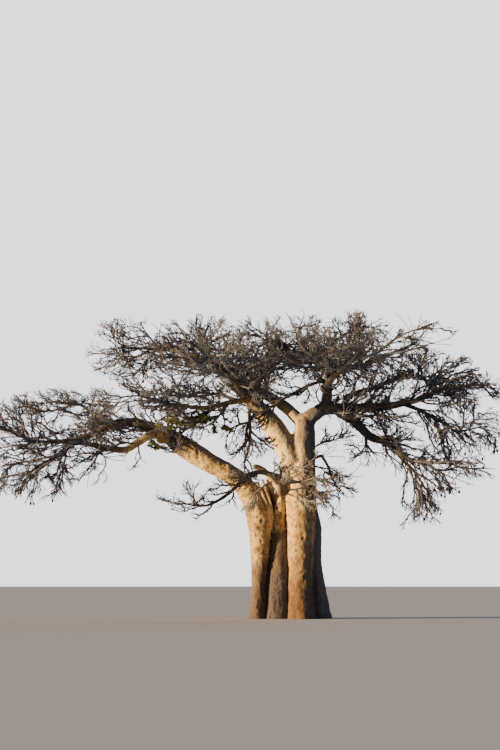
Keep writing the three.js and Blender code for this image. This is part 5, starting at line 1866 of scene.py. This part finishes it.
        # Grey-brown all round: weathering on thin limbs and a painted shade on shaded limbs and stems
        worn_and_shaded = np.where(worn_and_shaded < 0, self.MOST["thin"] * thin, worn_and_shaded * (1 + speck["worn_and_shaded"]))
        # A painted grey shade on the tops of limbs
        shaded_top = smooth_step(*self.SHADED_TOP_FACING, normals[:, 2] + speck["shaded_top"])
        # A rusty stain low down that also paints the shade darker towards the ground
        foot = 1 - smooth_step(*self.FOOT_HEIGHTS, z + patch + speck["foot"])
        on_ridge, on_fork = (
            np.clip(share + specks, least, most)
            for share, least, most in (self.BARE_RIDGE, self.PAINTED_LIGHT_ON_FORK)
        )
        # A painted light on the lit side of the fork, taken off where the painted side shade falls
        lit = fork * (1 - self.SIDE_SHADE_OVER_PAINTED_LIGHT * painted_side_shade**self.PAINTED_SIDE_SHADE_POWER)
        return {
            "shaded_top": self.MOST["shaded_top"] * shaded_top,
            "foot": self.MOST["foot"] * foot,
            "painted_side_shade": most_painted_side_shade * painted_side_shade * self.thickness(girth) * smooth_step(*self.PAINTED_SIDE_SHADE_FROM, x),
            "weather_and_shade": np.clip(worn_and_shaded + self.MOST["arm"] * arm, 0, 1),
            "pale_and_painted_light": np.maximum(on_ridge * self.near_ridge(points), on_fork * lit),
        }

    def near_ridge(self, points: np.ndarray) -> np.ndarray:
        """Returns: 1 on the pale ridge down the main stem and on two props, and 0 away from them."""
        near = np.zeros(len(points))
        for name in ("prop_ridge", "prop_outer", "prop_inner"):
            line, radii = limb_line(name, 12)
            gaps = segment_distances(points, line[:-1], line[1:]).min(axis=1)
            edges = (radii[0] * edge for edge in self.RIDGE_EDGES)
            near = np.maximum(near, 1 - smooth_step(*edges, gaps))
        return near

    def work(self, skin: Surface) -> None:
        """Moves the skin's vertices along their normals by the relief, which is weaker on thin
        boughs, and by the scars, keeps the foot's cut flat, and adds the colours' shares."""
        p = skin.vertices
        normals = skin.normals()
        hollow = np.sum((skin.neighbour_mean(p) - p) * normals, axis=1)
        girth, worn_and_shaded = self.nearest(p)
        scar = self.scarred(p, normals)
        moved = self.relief(p) * lerp(self.DEPTH_ON_THIN, 1, self.thickness(girth))
        moved -= self.SCAR_DEPTH * scar
        skin.vertices = p + normals * moved[:, None]
        skin.vertices[skin.vertices[:, 2] < self.CUT_HEIGHT, 2] = 0
        core, rim = self.SCAR_CORE
        skin.values = self.colour_shares(p, normals, girth, worn_and_shaded) | {
            "scar": self.MOST["scar"] * np.clip(core * scar - rim, 0, 1),
            # A painted shade in the creases
            "painted_crease_shade": self.MOST["painted_crease_shade"] * smooth_step(*self.CREASES, hollow),
        }


# The limbs of each body of boughs, and the bodies: the trunk's carries on a little way along some
# limbs, and the knobs are (x, y, z, radius, length)
LEFT_LIMBS = (
    "bough_left", "bough_left_arch", "bough_left_low", "bough_left_crest", "bough_left_sag",
    "branch_low_left",
)
UPPER_LEFT_LIMBS = (
    "fork_left", "bough_upper_left", "bough_mid_left", "bough_hub", "bough_front_left",
    "bough_back_left", "bough_back",
)
RIGHT_LIMBS = (
    "fork_right", "upright", "bough_right", "bough_right_low", "bough_top", "bough_centre",
    "bough_front_right", "bough_back_centre", "bough_upper_right", "bough_back_right",
    "branch_weeping", "branch_crossing",
)
TRUNK_CUTS = {
    "bough_left": (0, 3.3), "fork_left": (0, 3.9), "fork_right": (0, 0.85),
    "bough_back_left": (0, 0.9), "branch_low_left": (0, 0.7),
}
WOOD = (
    WoodBody(
        "trunk_bark", 0.033, tuple(TRUNK_CUTS), TRUNK_CUTS,
        ((-1.5, -0.3, 4.05, 0.16, 0.4), (0.42, -0.45, 5.35, 0.2, 0.5)), with_stems=True,
    ),
    WoodBody(
        "boughs_left", 0.022, LEFT_LIMBS, {"bough_left": (2.6, None), "branch_low_left": (0.25, None)},
        ((-3.8, -0.4, 5.93, 0.15, 0.4), (-4.6, -0.5, 6.35, 0.14, 0.4)),
    ),
    WoodBody(
        "boughs_upper_left", 0.022, UPPER_LEFT_LIMBS,
        {"fork_left": (3.2, None), "bough_back_left": (0.35, None)},
    ),
    WoodBody(
        "boughs_right", 0.022, RIGHT_LIMBS, {"fork_right": (0.3, None)},
        ((2.05, -0.35, 7.45, 0.15, 0.3), (1.4, -0.12, 8.35, 0.14, 0.25)),
    ),
)


@dataclass
class SmallBranches:
    """The thin branches that stand among the boughs, each one tapering tube with a knotty line."""

    STEPS = 24
    KNOTS = 0.22
    KNOT_SIZE = 0.12
    SIDES = 10
    WEATHERED = 0.55
    PATCHES = 0.3
    PATCH_SIZE = (0.4, 0.4, 0.4)

    def build(self) -> Surface:
        """Returns: all of them as one surface; a radius swells here and there by KNOTS."""
        parts = []
        for name in BRANCHES:
            points, radii = limb_line(name, self.STEPS)
            swell = value_noise(points / self.KNOT_SIZE, 5)
            parts.append(tubes(points[None], (radii * (1 + self.KNOTS * swell))[None], self.SIDES))
        skin = Surface.joined(parts)
        none = np.zeros(len(skin.vertices))
        patches = layered_noise(skin.vertices, self.PATCH_SIZE, 3)
        skin.values = dict.fromkeys(("shaded_top", "foot", "painted_side_shade", "scar", "painted_crease_shade", "pale_and_painted_light"), none)
        # The small branches' own grey-brown, with no painted shade
        skin.values["weather_and_shade"] = self.WEATHERED + self.PATCHES * patches
        return skin


@dataclass
class DeadWood:
    """Bleached branches without bark: long bent ones with the stubs of twigs."""

    lines: tuple[tuple[float, tuple[Point, ...]], ...] = (
        (0.045, ((1.4, -0.1, 8.95), (1.24, -0.42, 8.66), (1.52, -0.52, 8.27), (1.77, -0.6, 8.01),
                 (1.88, -0.66, 7.76), (1.92, -0.7, 7.45), (1.88, -0.72, 7.2))),
        (0.032, ((1.5, -0.1, 8.9), (1.64, -0.4, 9.11), (1.8, -0.5, 9.06), (1.87, -0.55, 8.9),
                 (1.86, -0.55, 8.62))),
        (0.024, ((1.77, -0.6, 8.01), (1.62, -0.66, 7.84), (1.58, -0.7, 7.6))),
        (0.022, ((1.9, -0.66, 7.76), (2.1, -0.7, 7.66), (2.22, -0.7, 7.5))),
    )
    steps: int = 16
    taper: float = 0.5
    wobble: float = 0.25
    wobble_size: float = 0.08
    sides: int = 8

    def build(self) -> Surface:
        """Returns: the branches as one surface; each tapers to half its radius."""
        parts = []
        for radius, route in self.lines:
            points = SmoothLine(np.array(route, float)).spaced(self.steps)
            wobble = 1 + self.wobble * value_noise(points / self.wobble_size, 9)
            radii = np.linspace(radius, radius * self.taper, self.steps + 1) * wobble
            parts.append(tubes(points[None], radii[None], self.sides))
        return Surface.joined(parts)


@dataclass
class Leaves:
    """Hands of folded leaflets that hang at the tips of some twigs."""

    # Where the tree is in leaf: the middle and the half sizes of each patch, and its hands
    patches: tuple[tuple[Point, Point, int], ...] = (
        ((-3.9, -1.6, 7.05), (1.1, 1.0, 0.35), 240),
        ((-2.5, -1.2, 6.85), (0.55, 0.8, 0.35), 80),
        ((-4.9, -0.9, 5.95), (0.6, 0.7, 0.4), 50),
    )
    leaflets: int = 5
    length: float = 0.18
    width: float = 0.075
    fold: float = 0.012
    thickness: float = 0.004
    droop: tuple[float, float] = (-0.2, 0.9)
    sizes: tuple[float, float] = (0.7, 1.15)
    seed: int = 5

    def build(self, tips: np.ndarray) -> Surface:
        """Each leaflet is a lens of eight faces, folded up along its middle: from a foot, over a
        left and a right corner and an upper and a lower middle, to a tip.

        Args:
            tips: the tips of all twigs, shape (n, 3).

        Returns: all the leaflets as one surface.
        """
        random = np.random.default_rng(self.seed)
        hands = []
        for middle, half, number in self.patches:
            near = np.sum(((tips - middle) / half) ** 2, axis=1) < 1
            found = tips[near]
            if len(found):
                hands.append(found[random.integers(0, len(found), number)])
        foot = np.repeat(np.vstack(hands), self.leaflets, axis=0)
        count = len(foot)
        turn = random.uniform(0, 2 * math.pi, count)
        drop = random.uniform(*self.droop, count)
        ahead = unit(np.stack([np.cos(turn), np.sin(turn), -drop], axis=1))
        aside = unit(np.cross(ahead, (0.0, 0.0, 1.0)))
        above = np.cross(aside, ahead)
        size = random.uniform(*self.sizes, count)[:, None]
        middle = foot + ahead * self.length * 0.5 * size
        corners = [
            foot,
            middle + aside * self.width / 2 * size + above * self.fold,
            foot + ahead * self.length * size,
            middle - aside * self.width / 2 * size + above * self.fold,
            middle + above * self.thickness / 2,
            middle - above * self.thickness / 2,
        ]
        vertices = np.stack(corners, axis=1).reshape(-1, 3)
        faces = []
        for i in range(4):
            faces += [(i, (i + 1) % 4, 4), ((i + 1) % 4, i, 5)]
        triangles = (np.arange(count)[:, None, None] * 6 + np.array(faces)).reshape(-1, 3)
        return Surface(vertices, np.zeros((0, 4), int), triangles)


@dataclass
class Fruit:
    """Dry egg-shaped fruit that hang on stalks from the lowest tips of the weeping twigs."""

    length: tuple[float, float] = (0.1, 0.16)
    girth: float = 0.042
    stalk: tuple[float, float] = (0.04, 0.12)
    stalk_radius: float = 5 * MM
    lean: float = 0.2
    girths: tuple[float, float] = (0.8, 1.2)
    rings: int = 9
    sides: int = 10
    seed: int = 8

    def build(self, tips: np.ndarray) -> Surface:
        """An egg's radius at a share t of its length is about girth * sin(pi t) ** 0.7 *
        (0.85 + 0.3 t), with small flat ends.

        Args:
            tips: the tips that bear fruit, shape (n, 3).

        Returns: fruit and stalks as one surface.
        """
        random = np.random.default_rng(self.seed)
        count = len(tips)
        stalk = random.uniform(*self.stalk, count)
        length = random.uniform(*self.length, count)
        lean = random.normal(0, self.lean, (count, 3)) * (1, 1, 0)
        down = unit(lean - (0, 0, 1))
        top = tips + down * stalk[:, None]
        t = np.linspace(0, 1, self.rings)
        share = 0.04 + 0.92 * t
        radii = self.girth * np.sin(math.pi * share) ** 0.7 * (0.85 + 0.3 * t)
        radii = radii * random.uniform(*self.girths, count)[:, None]
        eggs = top[:, None] + down[:, None] * (length[:, None] * t)[..., None]
        strings = np.stack([tips, lerp(tips, top, 0.5), top + down * 0.01], axis=1)
        thin = np.full((count, 3), self.stalk_radius)
        return Surface.joined([tubes(eggs, radii, self.sides), tubes(strings, thin, 4)])


@dataclass
class Stage:
    """The pale floor, the lamps, the sky and the camera."""

    floor_radius: float = 160.0
    floor_corners: int = 96
    camera_place: Point = (-1.44, -63.75, 1.6)
    camera_pitch: float = 6.398
    lens_mm: float = 85.0
    sensor_mm: float = 36.0
    furthest: float = 1000.0

    # Suns: name, where the light comes from round Z and over the ground, strength, size, colour
    SUNS = (
        ("key", -78, 9, 6.5, 3, "#FFDDB0"),
        ("key_on_wood", -70, 4, 12.8, 3, "#FFD69E"),
        ("back", 150, 30, 0.3, 40, "#D6E2F5"),
    )
    SHOWN_SKY = ("#E4E4EA", 2.6)
    GIVEN_LIGHT = ("#A9BEE6", 0.22)

    def floor(self, finish: "bpy.types.Material") -> None:
        """A round pale floor at ground level."""
        turn = np.arange(self.floor_corners) * 2 * math.pi / self.floor_corners
        rim = np.stack([np.cos(turn), np.sin(turn), 0 * turn], axis=1) * self.floor_radius
        vertices = np.vstack([rim, [(0, 0, 0)]])
        first = np.arange(self.floor_corners)
        middle = np.full(self.floor_corners, self.floor_corners)
        triangles = np.stack([middle, first, (first + 1) % self.floor_corners], axis=1)
        surface = Surface(vertices, np.zeros((0, 4), int), triangles)
        surface.to_object("floor", [finish])

    def lights(self) -> None:
        """A low warm key from the left, a second one that reaches only the trunk and the wood in
        front of it, and through the twigs, a weak cool one from behind, and the sky."""
        trunk = bpy.data.collections.new("trunk")
        trunk.objects.link(bpy.data.objects[WOOD[0].name])
        front = bpy.data.collections.new("front")
        for name in LIT_THROUGH_TWIGS:
            front.objects.link(bpy.data.objects[name])
        for name, turn, height, strength, angle, colour in self.SUNS:
            light = bpy.data.lights.new(name, "SUN")
            light.energy = strength
            light.angle = math.radians(angle)
            light.color = linear(colour)[:3]
            lamp = bpy.data.objects.new(name, light)
            lamp.rotation_euler = (math.radians(90 - height), 0, math.radians(turn))
            bpy.context.scene.collection.objects.link(lamp)
            if name == "key_on_wood":
                lamp.light_linking.receiver_collection = front
                lamp.light_linking.blocker_collection = trunk
        self.sky()

    def sky(self) -> None:
        """A pale grey sky that gives less light than it shows."""
        world = bpy.data.worlds.new("pale sky")
        bpy.context.scene.world = world
        world.use_nodes = True
        tree = world.node_tree
        tree.nodes.clear()
        shown, given = (
            add_node(tree, "ShaderNodeBackground", {"Color": linear(colour), "Strength": strength})
            for colour, strength in (self.SHOWN_SKY, self.GIVEN_LIGHT)
        )
        path = add_node(tree, "ShaderNodeLightPath")
        links = {0: path.outputs["Is Camera Ray"], 1: given.outputs[0], 2: shown.outputs[0]}
        mixed = add_node(tree, "ShaderNodeMixShader", {}, links)
        add_node(tree, "ShaderNodeOutputWorld", {}, {"Surface": mixed.outputs[0]})

    def camera(self) -> None:
        """The camera of the main view, level with a standing viewer's eye and tilted up."""
        data = bpy.data.cameras.new("camera")
        data.lens = self.lens_mm
        data.sensor_width = self.sensor_mm
        data.clip_end = self.furthest
        camera = bpy.data.objects.new("camera", data)
        camera.location = self.camera_place
        camera.rotation_euler = (math.radians(90 + self.camera_pitch), 0, 0)
        bpy.context.scene.collection.objects.link(camera)
        bpy.context.scene.camera = camera

    def build(self) -> None:
        """Makes the camera, the floor and the lights."""
        self.camera()
        pale = PlainFinish("pale matt floor", "#ECEAE6", roughness=0.9, grain_mm=400, bump=0.0)
        self.floor(pale.make())
        self.lights()


def place(surface: Surface, name: str, slot: str, finishes: list, nodes: tuple = ()) -> None:
    """Makes a surface a piece of the tree.

    Args:
        surface: its shape.
        name: its name.
        slot: the record's material slot; not used.
        finishes: its materials.
        nodes: the nodes of the source that it replaces.
    """
    piece = surface.to_object(name, finishes)
    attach(piece, "root")
    if nodes:
        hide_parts(*nodes)
    logging.getLogger("baobab").info("%s: %d triangles", name, surface.count())


# The pieces that shoots go into, by the limbs that they stand on
SHOOT_GROUPS = {
    "shoots_left": LEFT_LIMBS,
    "shoots_upper_left": (*UPPER_LEFT_LIMBS, "branch_hanging", "branch_hanging_side", "branch_lit"),
    "shoots_right": (
        "fork_right", "bough_right", "bough_right_low", "branch_weeping", "branch_elbow",
        "branch_drooping", "branch_drooping_side", "side_high", "side_mid", "side_low",
        "side_lowest", "spike_right", "spike_right_low", "spike_top",
    ),
    "shoots_front": ("tangle_high", "tangle_mid", "tangle_low", "tangle_top", "tangle_left"),
    "shoots_top": (
        "upright", "bough_top", "bough_centre", "bough_front_right", "bough_back_centre",
        "bough_upper_right", "bough_back_right", "branch_crossing",
    ),
}
# The pieces that the second lamp lights
LIT_THROUGH_TWIGS = ("trunk_bark", "fine_twigs_trunk_front", "shoots_front")
# Of the lowest tips of a mass, every so many-th bears fruit
FRUIT_STEP = 5


def main() -> None:
    """Builds the wood, every mass of twigs, the shoots along the boughs, the leaves, the fruit, the
    dead wood and the stage."""
    logging.basicConfig(level=logging.INFO, format="%(message)s")
    bark = BarkFinish().make()
    for body in WOOD:
        place(body.build(), body.name, body.slot(), [bark], body.nodes())
    place(SmallBranches().build(), "small_branches", "bough_bark", [bark])
    colours = [
        PlainFinish(twig.title, twig.colour, roughness=0.85, grain_mm=22, bump=0.6).make()
        for twig in TwigColour
    ]
    crown = Crown()
    tips = []
    fruit_tips = []
    for seed, name in enumerate(MASSES, start=1):
        mass = TwigMass(name, seed, crown)
        slot = "leafy_twigs" if name == "spray_in_leaf" else "twigs"
        place(mass.build(), "fine_" + name, slot, colours, (name,))
        ends = mass.places[mass.left == 0]
        tips.append(ends)
        fruit = MASSES[name].fruit
        if fruit:
            lowest = ends[np.argsort(ends[:, 2], kind="stable")[: FRUIT_STEP * fruit]]
            fruit_tips.append(lowest[::FRUIT_STEP])
    for name, limbs in SHOOT_GROUPS.items():
        parts = []
        for seed, rule in enumerate(SHOOTS, start=101):
            if rule.on in limbs:
                grown = LimbShoots(rule, seed, crown)
                parts.append(grown.build())
                tips.append(grown.places[grown.left == 0])
        place(Surface.joined(parts), name, "twigs", colours)
    leaf = PlainFinish("dull olive leaf", "#A09C50", roughness=0.6, grain_mm=30, bump=0.3).make()
    place(Leaves().build(np.vstack(tips)), "leaves", "leafy_twigs", [leaf])
    shell = PlainFinish(
        "velvety dark fruit shell", "#33291F", roughness=0.9, grain_mm=8, bump=0.4, sheen=0.4
    ).make()
    place(Fruit().build(np.vstack(fruit_tips)), "fruit", "fruit", [shell])
    bleached = PlainFinish(
        "bleached dead wood", "#E4D8C2", roughness=0.8, grain_mm=12, bump=0.6
    ).make()
    place(DeadWood().build(), "dead_branches", "dead_wood", [bleached])
    Stage().build()


if __name__ == "__main__":
    main()
